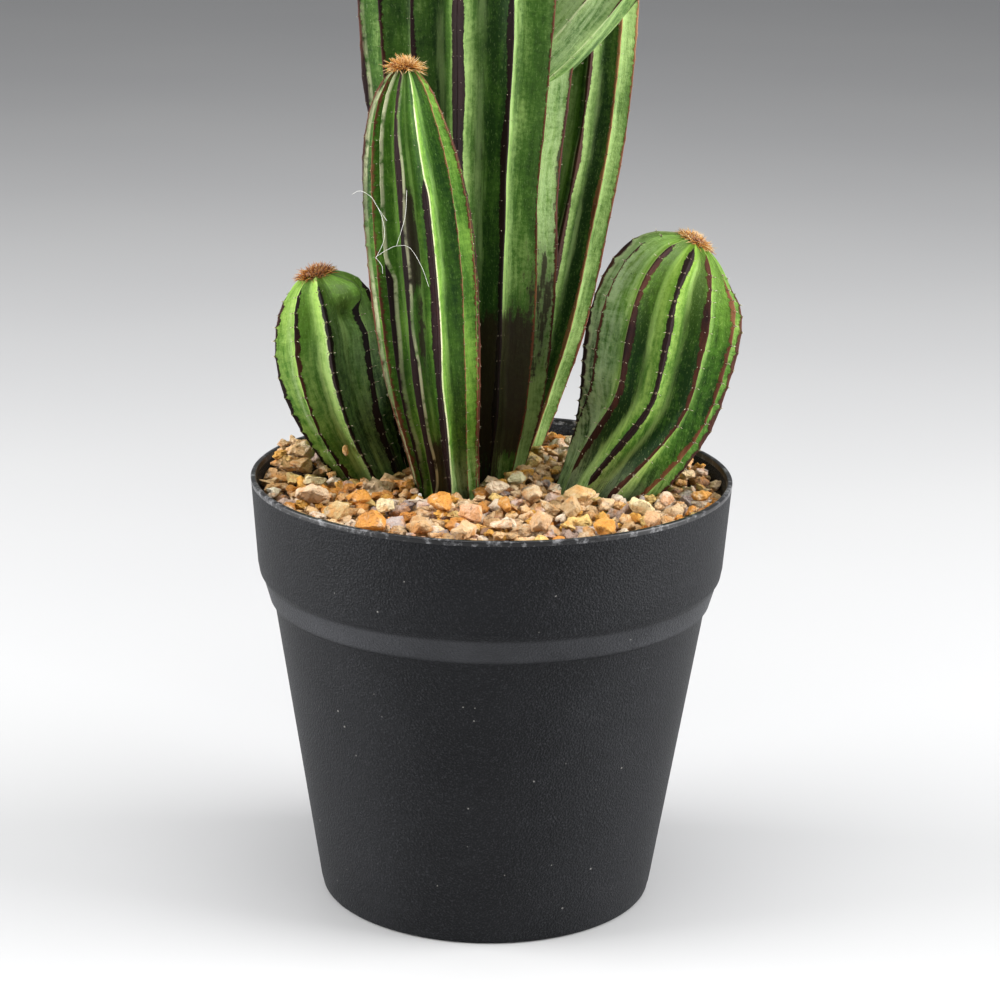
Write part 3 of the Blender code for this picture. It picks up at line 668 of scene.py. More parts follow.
def make_stems():
    """The main stem, arm, front, left, right and rear stems, in that order."""
    tall = MAIN_STEM_HEIGHT
    main = Stem("main_stem",
                path=[(-6.6, 19.0, 0.0), (-7.4, 19.0, 0.3 * tall), (-7.8, 19.5, 0.65 * tall),
                      (-6.5, 20.5, tall)],
                girth=[(0.0, 15.0), (0.045, 19.3), (0.12, 22.4), (0.22, 23.4), (0.33, 27.4), (0.5, 28.5),
                       (0.8, 27.0)],
                crown=62.0, ribs=[-51, -29, -5, 23, 49, 76, 102, 127, 152, 178, 204, 230, 256, 283],
                groove=0.2, tuft=7.5)
    arm = Stem("arm",
               path=[(-4.0, 19.0, 96.0), (12.0, 17.0, 113.0), (27.0, 13.5, 134.0), (39.0, 11.0, 156.0),
                     (45.0, 10.0, 184.0), (46.0, 10.5, 268.0)],
               girth=[(0.0, 10.0), (0.22, 13.0), (0.4, 13.5), (0.8, 13.5)],
               crown=30.0, ribs=[8.0 + 36.0 * k for k in range(10)], groove=0.2, tuft=4.6, buried=False)
    front = Stem("front_stem",
                 path=[(-10.6, -4.5, 0.0), (-13.1, -12.5, 20.5), (-14.8, -16.8, 34.0), (-17.0, -18.8, 58.0),
                       (-19.5, -18.8, 79.0), (-21.8, -17.6, 97.0), (-22.0, -16.3, 107.5)],
                 girth=[(0.0, 7.7), (0.11, 8.7), (0.3, 11.3), (0.56, 12.9), (0.7, 12.9)],
                 crown=43.0, ribs=[-61, -46, -24, 6, 40, 66, 92, 120, 150, 180, 210, 240, 270],
                 groove=0.2, tuft=4.3, twist=12.0)
    left = Stem("left_stem",
                path=[(-30.0, 12.8, 0.0), (-34.2, 9.0, 11.5), (-37.0, 6.5, 21.7), (-40.0, 5.5, 32.5),
                      (-41.8, 6.5, 43.0), (-44.8, 9.5, 54.0)],
                girth=[(0.0, 8.4), (0.22, 10.8), (0.41, 12.8), (0.6, 14.0), (0.7, 14.0)],
                crown=20.0, ribs=[-72, -33, 5, 47, 88, 128, 168, 208, 248], groove=0.24, tuft=5.9)
    right = Stem("right_stem",
                 path=[(27.6, 0.0, 0.0), (33.4, 0.0, 10.5), (37.8, 1.0, 21.0), (42.0, 4.0, 40.0),
                       (45.0, 8.0, 55.0), (48.6, 11.5, 64.0)],
                 girth=[(0.0, 11.4), (0.14, 14.0), (0.32, 16.6), (0.6, 18.8), (0.75, 18.8)],
                 crown=25.0, ribs=[-62, -32, -2, 28, 57, 83, 114, 145, 177, 208, 239, 268],
                 groove=0.2, tuft=5.8)
    rear = Stem("rear_stem",
                path=[(5.8, 38.5, 0.0), (9.8, 42.0, 14.5), (14.6, 43.5, 34.0), (19.0, 43.5, 58.0),
                      (24.0, 43.0, 90.0), (25.8, 43.5, 117.0), (26.0, 45.0, 160.0), (25.0, 46.5, 226.0)],
                girth=[(0.0, 6.6), (0.07, 8.2), (0.15, 9.5), (0.3, 10.0), (0.5, 9.8), (0.85, 9.6)],
                crown=24.0, ribs=[-55, -12, 32, 74, 116, 158, 200, 243, 276], groove=0.22, tuft=4.0)
    for side_stem in (front, left, right, rear):
        press_outward(side_stem, main)
    left.nod = np.array([0.4, -3.0, -0.9])
    right.nod = np.array([0.8, -4.0, -1.4])
    return main, arm, front, left, right, rear


CREST_SHARES = np.array([0.0, 0.022, 0.045, 0.07, 0.10, 0.14, 0.20, 0.29, 0.39, 0.5,
                         0.61, 0.71, 0.80, 0.86, 0.90, 0.93, 0.955, 0.978])
NEAR_SIDE = CREST_SHARES < 0.5
TO_CREST = np.where(NEAR_SIDE, CREST_SHARES, 1.0 - CREST_SHARES)
VALLEY = np.sqrt((1.0 - np.abs(1.0 - 2.0 * CREST_SHARES) ** 1.55) ** 2 + 0.0009) - 0.03
BAND_SHARES = (0.08, 0.36, 0.64, 0.92)
# how light the other ribs' flanks are: their own tone with painted light and shade
PLAIN_FLANK_TONE_AND_SHADE = ((0.75, 0.45, 0.25, 0.35), (0.3, 0.2, 0.55, 0.7), (0.55, 0.6, 0.3, 0.2), (0.25, 0.5, 0.6, 0.4))


@dataclass
class Look:
    """How one stem's ribs are shaped and painted."""
    stripes: dict            # bearing of a rib: (half width mm, tone, pale line: own pale rim and painted highlight, from share, to share)
    default: tuple           # the stripe of the other ribs
    spacing: tuple           # mm between areoles at the foot and at the tip
    seed: int
    flank_tone_and_shade: dict = field(default_factory=dict)     # bearing: how light the green is at BAND_SHARES up to the next crest, its own tone with painted light and shade
    stains: tuple = ()       # (bearing, spread in degrees, from mm, to mm, strength)
    ash: tuple = ()          # pale grey bloom, given like the stains
    bumps: tuple = ()        # (bearing, station mm, reach mm, height mm)
    base_turn: float = 0.0   # degrees that the ribs are turned by at the foot
    glow: float = 0.0        # yellow-green near the tip
    bead: float = 0.25       # mm that the crest stands up
    pinch: float = 0.0       # how much the stripes narrow at the areoles
    spines: float = 1.0      # size of the spines
    root_smooth: float = 0.0     # mm over which the ribs rise from a smooth root


def wave(x, seed):
    """Smooth wandering value near -1 to 1 along x in millimetres."""
    return np.array([noise.noise(Vector((float(v) * 0.05, seed * 7.31, 1.7))) * 2.0 for v in x])


def areole_stations(stem, look, rib_number):
    """Distances along the stem of one rib's areoles."""
    low, high = look.spacing
    rng = random.Random(look.seed * 100 + rib_number)
    at = 5.0 + rng.uniform(0.0, low)
    found = []
    while at < stem.length - 0.10 * stem.crown:
        found.append(at)
        at += (low + (high - low) * (at / stem.length)) * rng.uniform(0.9, 1.1)
    return np.array(found)


def degrees_apart(bearing, other):
    return (bearing - other + 180.0) % 360.0 - 180.0


def patches(areas, bearing, along):
    """Strongest of the soft-edged areas at each bearing, at one distance along the stem."""
    result = np.zeros(len(bearing))
    for at_bearing, spread, low, high, strength in areas:
        side = 1.0 - smoothstep(0.55 * spread, 1.15 * spread, np.abs(degrees_apart(bearing, at_bearing)))
        rise = smoothstep(low - 6.0, low + 4.0, along) * (1.0 - smoothstep(high - 9.0, high + 7.0, along))
        result = np.maximum(result, strength * side * rise)
    return result


def rib_turn(stem, look, along):
    """Degrees that the ribs are turned by at a distance along the stem."""
    sway = look.base_turn * (1.0 - smoothstep(0.0, 0.45, along / stem.length))
    return stem.twist * max(along, 0.0) / stem.length + sway


def blend(near, far):
    """Values from one crest's to the next one's."""
    return near * (1 - CREST_SHARES) + far * CREST_SHARES


def skin_stations(stem, ring_gap):
    """Distances along the stem of the skin's rings, from the root to just under the tip."""
    shoulder = stem.length - stem.crown
    start = 1.0 if stem.buried else 0.0
    body = np.linspace(start, shoulder, max(int((shoulder - start) / ring_gap), 8))
    crown_rings = max(int(1.25 * stem.crown / ring_gap), 14)
    crown = shoulder + stem.crown * np.sin(np.linspace(0.0, math.acos(0.05), crown_rings + 1)[1:])
    under = (-ROOT_DEPTH, -22.0, -ROOT_BEND, -10.0, -6.0, -3.0, -1.0) if stem.buried else ()
    return np.concatenate([under, body, crown])


def build_stem(stem, look, surface, ring_gap):
    """High-resolution ribbed skin, with the attributes that its material reads."""
    shoulder = stem.length - stem.crown
    station = skin_stations(stem, ring_gap)
    centres, _, forward, sideways = stem.frames(station)
    radii = stem.radius(station)
    ribs = stem.ribs
    pitches = [following - rib for rib, following in zip(ribs, ribs[1:] + [ribs[0] + 360.0])]
    spots = [areole_stations(stem, look, k) for k in range(len(ribs))]
    wobble = [wave(station, look.seed + 3.1 * k) for k in range(len(ribs))]
    swing = [wave(station * 1.7 + 40, look.seed + 5.7 * k) for k in range(len(ribs))]
    size = 0.75 * np.max(radii)
    points = []
    layers = {"skin_at": [], "rib_map": [], "rib_paint": [], "rib_shade": []}
    for i, (along, radius) in enumerate(zip(station, radii)):
        share = along / stem.length
        fade = min(1.0, 0.35 + max(along, 0.0) / (2.0 * radius + 1e-6))
        if look.root_smooth:
            fade = smoothstep(0.3 * look.root_smooth, look.root_smooth, along)
        tip = smoothstep(shoulder + 0.80 * stem.crown, stem.length, along)
        depth = GROOVE_DEEPER * stem.groove * fade * (1.0 + 0.25 * tip)
        for k, (rib, pitch) in enumerate(zip(ribs, pitches)):
            following = (k + 1) % len(ribs)
            drift = blend(wobble[k][i], wobble[following][i])
            bearing = rib + pitch * CREST_SHARES + RIB_SWAY * pitch * drift + rib_turn(stem, look, along)
            arc_length = math.radians(pitch) * radius
            distance = TO_CREST * arc_length
            half, tone, pale_rim_and_highlight, bead = np.zeros((4, len(CREST_SHARES)))
            for owner, chosen, facing in ((k, NEAR_SIDE, 1.0), (following, ~NEAR_SIDE, -1.0)):
                width, brown, pale, low, high = look.stripes.get(ribs[owner], look.default)
                present = smoothstep(low - 0.02, low + 0.03, share)
                present = present * (1 - smoothstep(high - 0.04, high + 0.02, share))
                near_spot = math.exp(-(np.min(np.abs(spots[owner] - along)) / 0.5) ** 2)
                pinched = 1.0 - look.pinch * min(1.0, 0.8 / max(width, 0.1)) ** 2 * near_spot
                painted = min(width * present * (0.85 + 0.35 * swing[owner][i]) * pinched, 0.30 * arc_length)
                half[chosen] = painted if width * present > 0.02 else NO_STRIPE
                tone[chosen] = brown + 0.12 * wobble[owner][i]
                # pale line beside the crest on its lit side: its own pale rim and a painted highlight
                pale_rim_and_highlight[chosen] = facing * pale * (0.6 + 0.4 * swing[owner][i]) * smoothstep(0.0, 0.05, share)
                swell = look.bead * (1.0 + 0.8 * near_spot - 0.3 * look.pinch) * min(1.0, fade * 1.2)
                reach = max(min(width * 1.15, 0.25 * arc_length), 0.35)
                bead[chosen] = swell * np.exp(-(distance[chosen] / reach) ** 2)
            out = radius * (1.0 - depth * VALLEY) + bead * min(1.0, radius / 5.0) - SKIN_SINK
            out = out + 0.012 * radius * fade * blend(swing[k][i], swing[following][i])
            for at_bearing, at_station, spread, height in look.bumps:
                around = np.radians(degrees_apart(bearing, at_bearing)) * radius
                out = out + height * np.exp(-(around**2 + (along - at_station)**2) / spread**2)
            turn = np.radians(bearing)
            points.append(centres[i] + np.outer(out * np.cos(turn), forward[i])
                          + np.outer(out * np.sin(turn), sideways[i]))
            # how light the green is across this flank: its own tone with painted light and shade
            flank_tone_and_shade = look.flank_tone_and_shade.get(rib, PLAIN_FLANK_TONE_AND_SHADE[(k * 3 + look.seed) % 4])
            green_tone_and_shade = np.interp(CREST_SHARES, BAND_SHARES, flank_tone_and_shade) + 0.10 * drift
            yellow = look.glow * smoothstep(0.5, 0.95, share) * (0.4 + 0.6 * green_tone_and_shade)
            layers["skin_at"].append((size * np.cos(turn), size * np.sin(turn), np.full(len(turn), along)))
            layers["rib_map"].append((distance, half, 2.0 * TO_CREST))
            layers["rib_paint"].append((tone, pale_rim_and_highlight, patches(look.stains, bearing, along)))
            layers["rib_shade"].append((yellow, green_tone_and_shade, patches(look.ash, bearing, along)))
    count = len(ribs) * len(CREST_SHARES)
    total = len(station) * count
    points = np.vstack(points + [centres[0], centres[-1] + (centres[-1] - centres[-2]) * 0.15])
    faces = ring_faces(len(station), count)
    faces += [(total, (i + 1) % count, i) for i in range(count)]
    faces += fan(total - count, count, total + 1)
    attributes = {}
    for label, parts in layers.items():
        values = np.hstack(parts).T
        attributes[label] = np.concatenate([values, values[:1], values[-1:]])
    return add_mesh(f"{stem.name}_skin", points, faces, surface, attributes=attributes)


def crest_point(stem, look, rib, along):
    """Place, outward, sideways and upward directions on a rib's crest."""
    centres, tangents, forward, sideways = stem.frames([along])
    turn = math.radians(rib + rib_turn(stem, look, along))
    outward = math.cos(turn) * forward[0] + math.sin(turn) * sideways[0]
    across = -math.sin(turn) * forward[0] + math.cos(turn) * sideways[0]
    slope = (stem.radius([along + 0.5])[0] - stem.radius([along - 0.5])[0])
    normal = outward - slope * tangents[0]
    normal /= np.linalg.norm(normal)
    place_at = centres[0] + outward * (stem.radius([along])[0] + look.bead * 0.7)
    return place_at, normal, across, tangents[0]


def bristle_map(shares, sides, shade):
    """Attribute of a tube: share of the way to its tip, and its shade."""
    along = np.repeat(shares, sides)
    return np.column_stack([along, np.full(len(along), shade), np.zeros(len(along))])


def build_spines(stem, look, horn, wool):
    """Areole cushions and their short spines along every rib."""
    rng = random.Random(look.seed * 17)
    spines = Batch()
    cushions = Batch()
    ball_points, ball_faces = unit_ball(1)
    scale = look.spines
    for k, rib in enumerate(stem.ribs):
        width = look.stripes.get(rib, look.default)[0]
        for along in areole_stations(stem, look, k):
            if along > stem.length - 0.12 * stem.crown:
                continue
            shift = RIB_SWAY * 30.0 * wave([along], look.seed + 3.1 * k)[0]
            at, normal, across, upward = crest_point(stem, look, rib + shift, along)
            blob = ball_points * [1.1, 0.6, 1.3] * (0.42 * scale * rng.uniform(0.8, 1.2))
            cushions.add(at + blob @ np.array([across, normal, upward]), ball_faces)
            for side in (-1, 1, 0):
                if side == 0 and rng.random() < 0.6:
                    continue
                length = scale * rng.uniform(0.7, 1.35)
                lean = across * side * rng.uniform(0.55, 1.0) + normal * rng.uniform(0.5, 1.0) \
                    + upward * rng.uniform(-0.35, 0.3)
                lean /= np.linalg.norm(lean)
                root = at + across * side * min(width * 0.9, 0.8)
                path = [root - lean * 0.15, root + lean * length * 0.5, root + lean * length]
                body, faces = tube(path, [0.17 * scale, 0.11 * scale, 0.02], 5)
                spines.add(body, faces, bristle_map=bristle_map([0.0, 0.5, 1.0], 5, rng.random()))
    return spines.build(f"{stem.name}_spines", horn), cushions.build(f"{stem.name}_areoles", wool)


def build_tuft(stem, bristles, pad, seed, count, length, pale):
    """Mop of curved tapering bristles rooted on the crown, over a thin felted pad."""
    rng = random.Random(seed)
    shoulder = stem.length - stem.crown
    girth = stem.radius([shoulder + 0.2 * stem.crown])[0] / math.cos(math.asin(0.2))
    radius = stem.tuft

    def on_crown(spread):
        rise = math.sqrt(max(1.0 - (spread / girth) ** 2, 0.0))
        return [values[0] for values in stem.frames([shoulder + rise * stem.crown])]

    batch = Batch()
    shares = (0.0, 0.33, 0.67, 1.0)
    for number in range(count):
        share = math.sqrt((number + 0.5) / count)
        turn = number * GOLDEN_TURN + rng.uniform(-0.3, 0.3)
        spread = radius * 0.60 * share * rng.uniform(0.85, 1.15)
        centre, up, ahead, aside = on_crown(spread)
        flat = math.cos(turn) * ahead + math.sin(turn) * aside
        around = np.cross(up, flat)
        root = centre + flat * spread
        lean = 1.25 * share + rng.uniform(-0.65, 0.65)
        direction = up * math.cos(lean) + (flat + around * rng.uniform(-0.9, 0.9)) * math.sin(lean)
        direction /= np.linalg.norm(direction)
        reach = length * rng.uniform(0.45, 1.15)
        bend = around * rng.uniform(-0.8, 0.8) + flat * rng.uniform(-0.5, 0.5)
        bend = bend - up * rng.uniform(0.0, 0.9) * share
        path = [root + direction * reach * (t - 0.1) + bend * reach * 0.5 * t * t for t in shares]
        body, faces = tube(path, [0.10, 0.09, 0.065, 0.015], 4)
        shade = min(1.0, max(0.0, rng.gauss(pale, 0.28)))
        batch.add(body, faces, bristle_map=bristle_map(shares, 4, shade))
    tuft = batch.build(f"{stem.short}_tuft_bristles", bristles)
    points, faces = unit_ball(4)
    rough = np.array([noise.noise(Vector(p) * 3.0 + Vector((seed, 0, 0))) for p in points])
    points = points * (1.0 + 0.16 * rough)[:, None] * [0.5 * radius, 0.5 * radius, 0.9] + [0.0, 0.0, 0.3]
    centre, up, ahead, aside = on_crown(0.45 * radius)
    felt = add_mesh(f"{stem.short}_tuft_pad", centre + points @ np.array([ahead, aside, up]), faces, pad)
    return tuft, felt


# ---------------------------------------------------------------- gravel

# tints of the small stones, and how common each one is
PALETTE = (((0.66, 0.42, 0.20), 24), ((0.74, 0.52, 0.30), 20), ((0.58, 0.33, 0.13), 14),
           ((0.62, 0.25, 0.04), 13), ((0.74, 0.38, 0.06), 10), ((0.70, 0.48, 0.16), 8),
           ((0.56, 0.40, 0.32), 9), ((0.78, 0.64, 0.48), 13), ((0.32, 0.17, 0.09), 6),
           ((0.42, 0.34, 0.31), 4))


def pick_tint(rng):
    at = rng.uniform(0, sum(weight for _, weight in PALETTE))
    for color, weight in PALETTE:
        at -= weight
        if at <= 0:
            break
    bright = rng.uniform(0.88, 1.28)
    return tuple(min(0.92, c * bright) for c in color)


def worn_stone(mesh_builder, size, wear, longest_edge, seed, amount):
    """Points and faces of an angular stone with its edges worn round and its faces pitted."""
    bmesh.ops.recalc_face_normals(mesh_builder, faces=mesh_builder.faces)
    bmesh.ops.dissolve_limit(mesh_builder, angle_limit=math.radians(9), verts=mesh_builder.verts,
                             edges=mesh_builder.edges)
    bmesh.ops.bevel(mesh_builder, geom=mesh_builder.edges[:], offset=0.06 * wear, segments=2, profile=0.6,
                    affect="EDGES", clamp_overlap=True)
    bmesh.ops.triangulate(mesh_builder, faces=mesh_builder.faces)
    bmesh.ops.remove_doubles(mesh_builder, verts=mesh_builder.verts, dist=0.004 * wear)
    long_edges = [e for e in mesh_builder.edges if e.calc_length() > longest_edge]
    bmesh.ops.subdivide_edges(mesh_builder, edges=long_edges, cuts=1, use_grid_fill=True)
    bmesh.ops.triangulate(mesh_builder, faces=mesh_builder.faces)
    mesh_builder.normal_update()
    mesh_builder.verts.ensure_lookup_table()
    mesh_builder.verts.index_update()
    offset = Vector((seed * 3.7, 1.0, 2.0))
    moved = []
    for vert in mesh_builder.verts:
        rise = noise.noise(vert.co * (2.4 / size) + offset)
        rise += 0.6 * noise.noise(vert.co * (6.5 / size) - offset)
        moved.append(vert.co + vert.normal * size * amount * rise)
    return np.array(moved), mesh_arrays(mesh_builder)[1]


def stone_prototypes(rng, count):
    """Stones of many shapes, their longest half measure 1: angular, blocky, flat and rounded."""
    made = []
    for number in range(count):
        mesh_builder = bmesh.new()
        squash = (1.0, rng.uniform(0.6, 0.92), rng.uniform(0.5, 0.8))
        for _ in range(rng.choice((9, 11, 13, 16))):
            direction = Vector([rng.gauss(0, 1) for _ in range(3)]).normalized()
            reach = rng.uniform(0.86, 1.0)
            mesh_builder.verts.new([direction[k] * squash[k] * reach for k in range(3)])
        hull = bmesh.ops.convex_hull(mesh_builder, input=mesh_builder.verts)
        unused = set(hull["geom_interior"]) | set(hull["geom_unused"])
        unused = [part for part in unused if isinstance(part, bmesh.types.BMVert)]
        bmesh.ops.delete(mesh_builder, geom=unused, context="VERTS")
        points, faces = worn_stone(mesh_builder, 1.0, 1.6, 0.45, number, 0.26)
        low, high = points.min(0), points.max(0)
        points = (points - (low + high) / 2) / ((high - low)[0] / 2)
        made.append((points, faces, np.abs(points).max(0)))
    return made


# heaps and hollows of the gravel: place x, y, reach and height
HEAPS = ((47.0, 26.0, 16.0, -3.5), (-38.0, 40.0, 16.0, -3.0), (-50.0, 12.0, 10.0, 7.5), (49.0, 9.0, 6.5, 6.0))


def target_level(x, y):
    """Height of the gravel's top surface: the CAD bed's mound, with heaps and hollows at the rim."""
    level = GRAVEL_LEVEL + GRAVEL_MOUND * (1.0 - (np.hypot(x, y) / pot_inner(GRAVEL_LEVEL)) ** 2)
    for heap_x, heap_y, reach, height in HEAPS:
        level = level + height * np.exp(-((x - heap_x) ** 2 + (y - heap_y) ** 2) / reach ** 2)
    return level + 0.8


class StoneBed:
    """Height map of the bed, on which stones come to rest one by one."""

    def __init__(self, stems):
        self.axis = np.arange(-BED_SPAN, BED_SPAN + BED_CELL, BED_CELL)
        self.x, self.y = np.meshgrid(self.axis, self.axis, indexing="ij")
        self.top = target_level(self.x, self.y) - STONE_LAYER
        blocked = np.hypot(self.x, self.y) > pot_inner(GRAVEL_LEVEL) - 0.2
        for stem in stems:
            for height in np.linspace(-6.0, 7.0, 6):
                along = height
                if height > 0:
                    along = np.interp(GRAVEL_LEVEL + height, stem.points[:, 2], stem.knots)
                centre = stem.axis([along])[0]
                radius = stem.radius([along])[0] * (0.97 if height < 4 else 0.90)
                blocked |= np.hypot(self.x - centre[0], self.y - centre[1]) < radius
        self.top[blocked] = WALL

    def settle(self, half, x, y, turn):
        """Height at which a stone rests, with the cells it covers and its half height over them."""
        reach = int(math.ceil(max(half[0], half[1]) / BED_CELL)) + 1
        cells = []
        for at in (x, y):
            middle = int(round((at + BED_SPAN) / BED_CELL))
            cells.append(slice(max(middle - reach, 0), min(middle + reach + 1, len(self.axis))))
        cells = tuple(cells)
        dx = self.x[cells] - x
        dy = self.y[cells] - y
        u = (dx * math.cos(turn) + dy * math.sin(turn)) / half[0]
        v = (-dx * math.sin(turn) + dy * math.cos(turn)) / half[1]
        inside = u * u + v * v < 0.80
        if not inside.any():
            return None
        bulge = half[2] * np.sqrt(np.maximum(1.0 - (u * u + v * v), 0.0)) * 0.88
        rest = np.max(np.where(inside, self.top[cells] + bulge, -WALL))
        return rest, cells, inside, bulge

    def cover(self, rest, cells, inside, bulge):
        area = self.top[cells]
        self.top[cells] = np.where(inside, np.maximum(area, rest + bulge), area)


def build_gravel(stems, surface):
    """Drop stones one by one onto the height map until the bed is full."""
    rng = random.Random(23)
    prototypes = stone_prototypes(rng, 26)
    bed = StoneBed(stems)
    batches = [Batch() for _ in range(4)]
    placed = 0
    misses = 0
    while misses < 160 and placed < 1500:
        shape, faces, measures = rng.choice(prototypes)
        size = min(max(rng.lognormvariate(math.log(2.75), 0.28), 1.5), 4.6)
        half = (size, size * rng.uniform(0.66, 0.9), size * rng.uniform(0.5, 0.75))
        best = None
        for _ in range(14):
            distance = 57.0 * math.sqrt(rng.random())
            bearing = rng.uniform(0, 2 * math.pi)
            x, y = distance * math.cos(bearing), distance * math.sin(bearing)
            turn = rng.uniform(0, 2 * math.pi)
            found = bed.settle(half, x, y, turn)
            if found is None or found[0] > WALL / 2:
                continue
            over = found[0] + 0.55 * half[2] - float(target_level(x, y))
            if best is None or over < best[0]:
                best = (over, x, y, turn, found)
        if best is None or best[0] > 0.7:
            misses += 1
            continue
        misses = 0
        placed += 1
        _, x, y, turn, found = best
        tint = pick_tint(rng)
        tilt = Matrix.Rotation(rng.uniform(-0.3, 0.3), 3, "X")
        tilt = tilt @ Matrix.Rotation(rng.uniform(-0.3, 0.3), 3, "Y")
        rotation = np.array(Matrix.Rotation(turn, 3, "Z") @ tilt)
        scale = np.array([half[0], half[1] / measures[1], half[2] / measures[2]])
        shaped = (shape * scale) @ rotation.T + np.array([x, y, found[0]])
        batches[rng.randrange(4)].add(shaped, faces, stone_tint=tint)
        bed.cover(*found)
    print("stones placed:", placed)
    return [batch.build(f"gravel_stones_{number}", surface) for number, batch in enumerate(batches, start=1)]


def build_loose_stones(surface):
    """Worn, stained versions of the CAD part's loose stones, each in its own place."""
    kinds = (("stone_tan", (0.66, 0.43, 0.21)), ("stone_orange", (0.66, 0.30, 0.05)),
             ("stone_pale", (0.78, 0.62, 0.38)))
    for number, name in enumerate(sorted(n for n in nodes if n.startswith("stone_")), start=1):
        rng = random.Random(number * 5 + 1)
        low, high = box_mm(name)
        centre = (low + high) / 2
        size = (high - low).max()
        mesh_builder = bmesh.new()
        mesh_builder.from_mesh(nodes[name].data)
        to_centre = Matrix.Scale(1 / MM, 4) @ Matrix.Translation(-Vector(centre) * MM)
        bmesh.ops.transform(mesh_builder, matrix=to_centre, verts=mesh_builder.verts)
        bmesh.ops.remove_doubles(mesh_builder, verts=mesh_builder.verts, dist=0.05)
        points, faces = worn_stone(mesh_builder, size, size, 0.16 * size, number, 0.10)
        slot, color = kinds[number % 3]
        bright = rng.uniform(0.95, 1.2)
        tint = [c * bright * rng.uniform(0.92, 1.08) for c in color]
        stone = Batch()
        lowered = [0.0, 0.0, (1.0 - LOOSE_SCALE) * (high - low)[2] / 2]
        stone.add(points * LOOSE_SCALE + centre - lowered, faces, stone_tint=tint)
        place(stone.build(f"loose_{name}", surface), slot, name)


def build_bed(surface):
    """Grit surface under the stones, dark as painted shade in the gaps, with a bumpy top; its rim and
    underside follow the CAD bed.
    """
    rings, segments = 60, 200
    bottom = box_mm("gravel_bed")[0][2]
    points = []
    turn = round_turn(segments)
    for ring in range(rings):
        radius = (pot_inner(GRAVEL_LEVEL) - GRIT_GAP) * (1.0 - ring / rings)
        for a in turn:
            x, y = radius * math.cos(a), radius * math.sin(a)
            rough = noise.noise(Vector((x * 0.5, y * 0.5, 3.0))) * 0.7
            points.append((x, y, float(target_level(x, y)) - GRIT_DEPTH + rough))
    last = len(points) - segments
    points.append((0.0, 0.0, float(target_level(0.0, 0.0)) - GRIT_DEPTH))
    below = len(points)
    radius = pot_inner(bottom) - GRIT_GAP
    points += [(radius * math.cos(a), radius * math.sin(a), bottom) for a in turn]
    points.append((0.0, 0.0, bottom))
    faces = ring_faces(rings, segments) + fan(last, segments, below - 1)
    faces += [(below + i, below + (i + 1) % segments, (i + 1) % segments, i) for i in range(segments)]
    faces += fan(below, segments, below + segments, True)
    return add_mesh("gravel_bed_grit", points, faces, surface)


# ---------------------------------------------------------------- small finds

def build_specks(left, stone, bead):
    """Three perlite beads on the gravel, and one stone stuck on the left stem."""
    points, faces = unit_ball(3)
    lumps = np.array([[noise.noise(Vector(p) * 1.4)] for p in points])
    beads = Batch()
    for x, y, lift, size in ((-7.5, -10.9, 2.6, 0.75), (20.2, -15.3, 2.4, 0.5), (-17.5, -14.0, 2.2, 0.5)):
        beads.add(points * (1.0 + 0.2 * lumps) * size + [x, y, GRAVEL_LEVEL + lift], faces)
    along = 15.0
    centres, _, forward, sideways = left.frames([along])
    turn = math.radians(-12.0)
    outward = math.cos(turn) * forward[0] + math.sin(turn) * sideways[0]
    body = points * (1.0 + 0.5 * lumps) * [0.8, 0.7, 1.3]
    body = body + centres[0] + outward * left.radius([along])[0] * 0.93
    stuck = Batch()
    stuck.add(body, faces, stone_tint=(0.78, 0.46, 0.16))
    return beads.build("perlite_beads", bead), stuck.build("stuck_stone", stone)


def build_threads(surface):
    """Fine stray threads hanging on the front stem."""
    lines = (
        ((-33.6, -28.0, 183.3), (-32.3, -29.5, 184.3), (-31.0, -30.8, 184.5), (-28.9, -31.8, 183.3),
         (-27.5, -32.4, 181.2), (-25.3, -33.0, 178.1)),
        ((-28.4, -32.2, 182.7), (-26.7, -32.8, 179.6), (-25.8, -33.2, 175.6), (-26.3, -33.0, 172.5),
         (-27.9, -32.6, 169.1)),
        ((-27.8, -32.8, 169.3), (-26.4, -33.2, 167.5), (-26.2, -33.0, 165.6)),
        ((-27.8, -32.6, 169.5), (-25.5, -33.6, 171.2), (-23.0, -34.0, 172.4), (-19.9, -34.0, 172.0),
         (-17.1, -33.4, 167.4), (-15.4, -32.8, 162.6)),
        ((-23.0, -34.0, 172.4), (-21.1, -33.8, 179.1), (-20.7, -33.4, 185.4)),
    )
    batch = Batch()
    for line in lines:
        samples = np.linspace(0, len(line) - 1.001, 10 * len(line))
        path = curve_through(range(len(line)), line, samples)
        batch.add(*tube(path, [THREAD_RADIUS] * len(path), 5))
    return batch.build("stray_threads", surface)


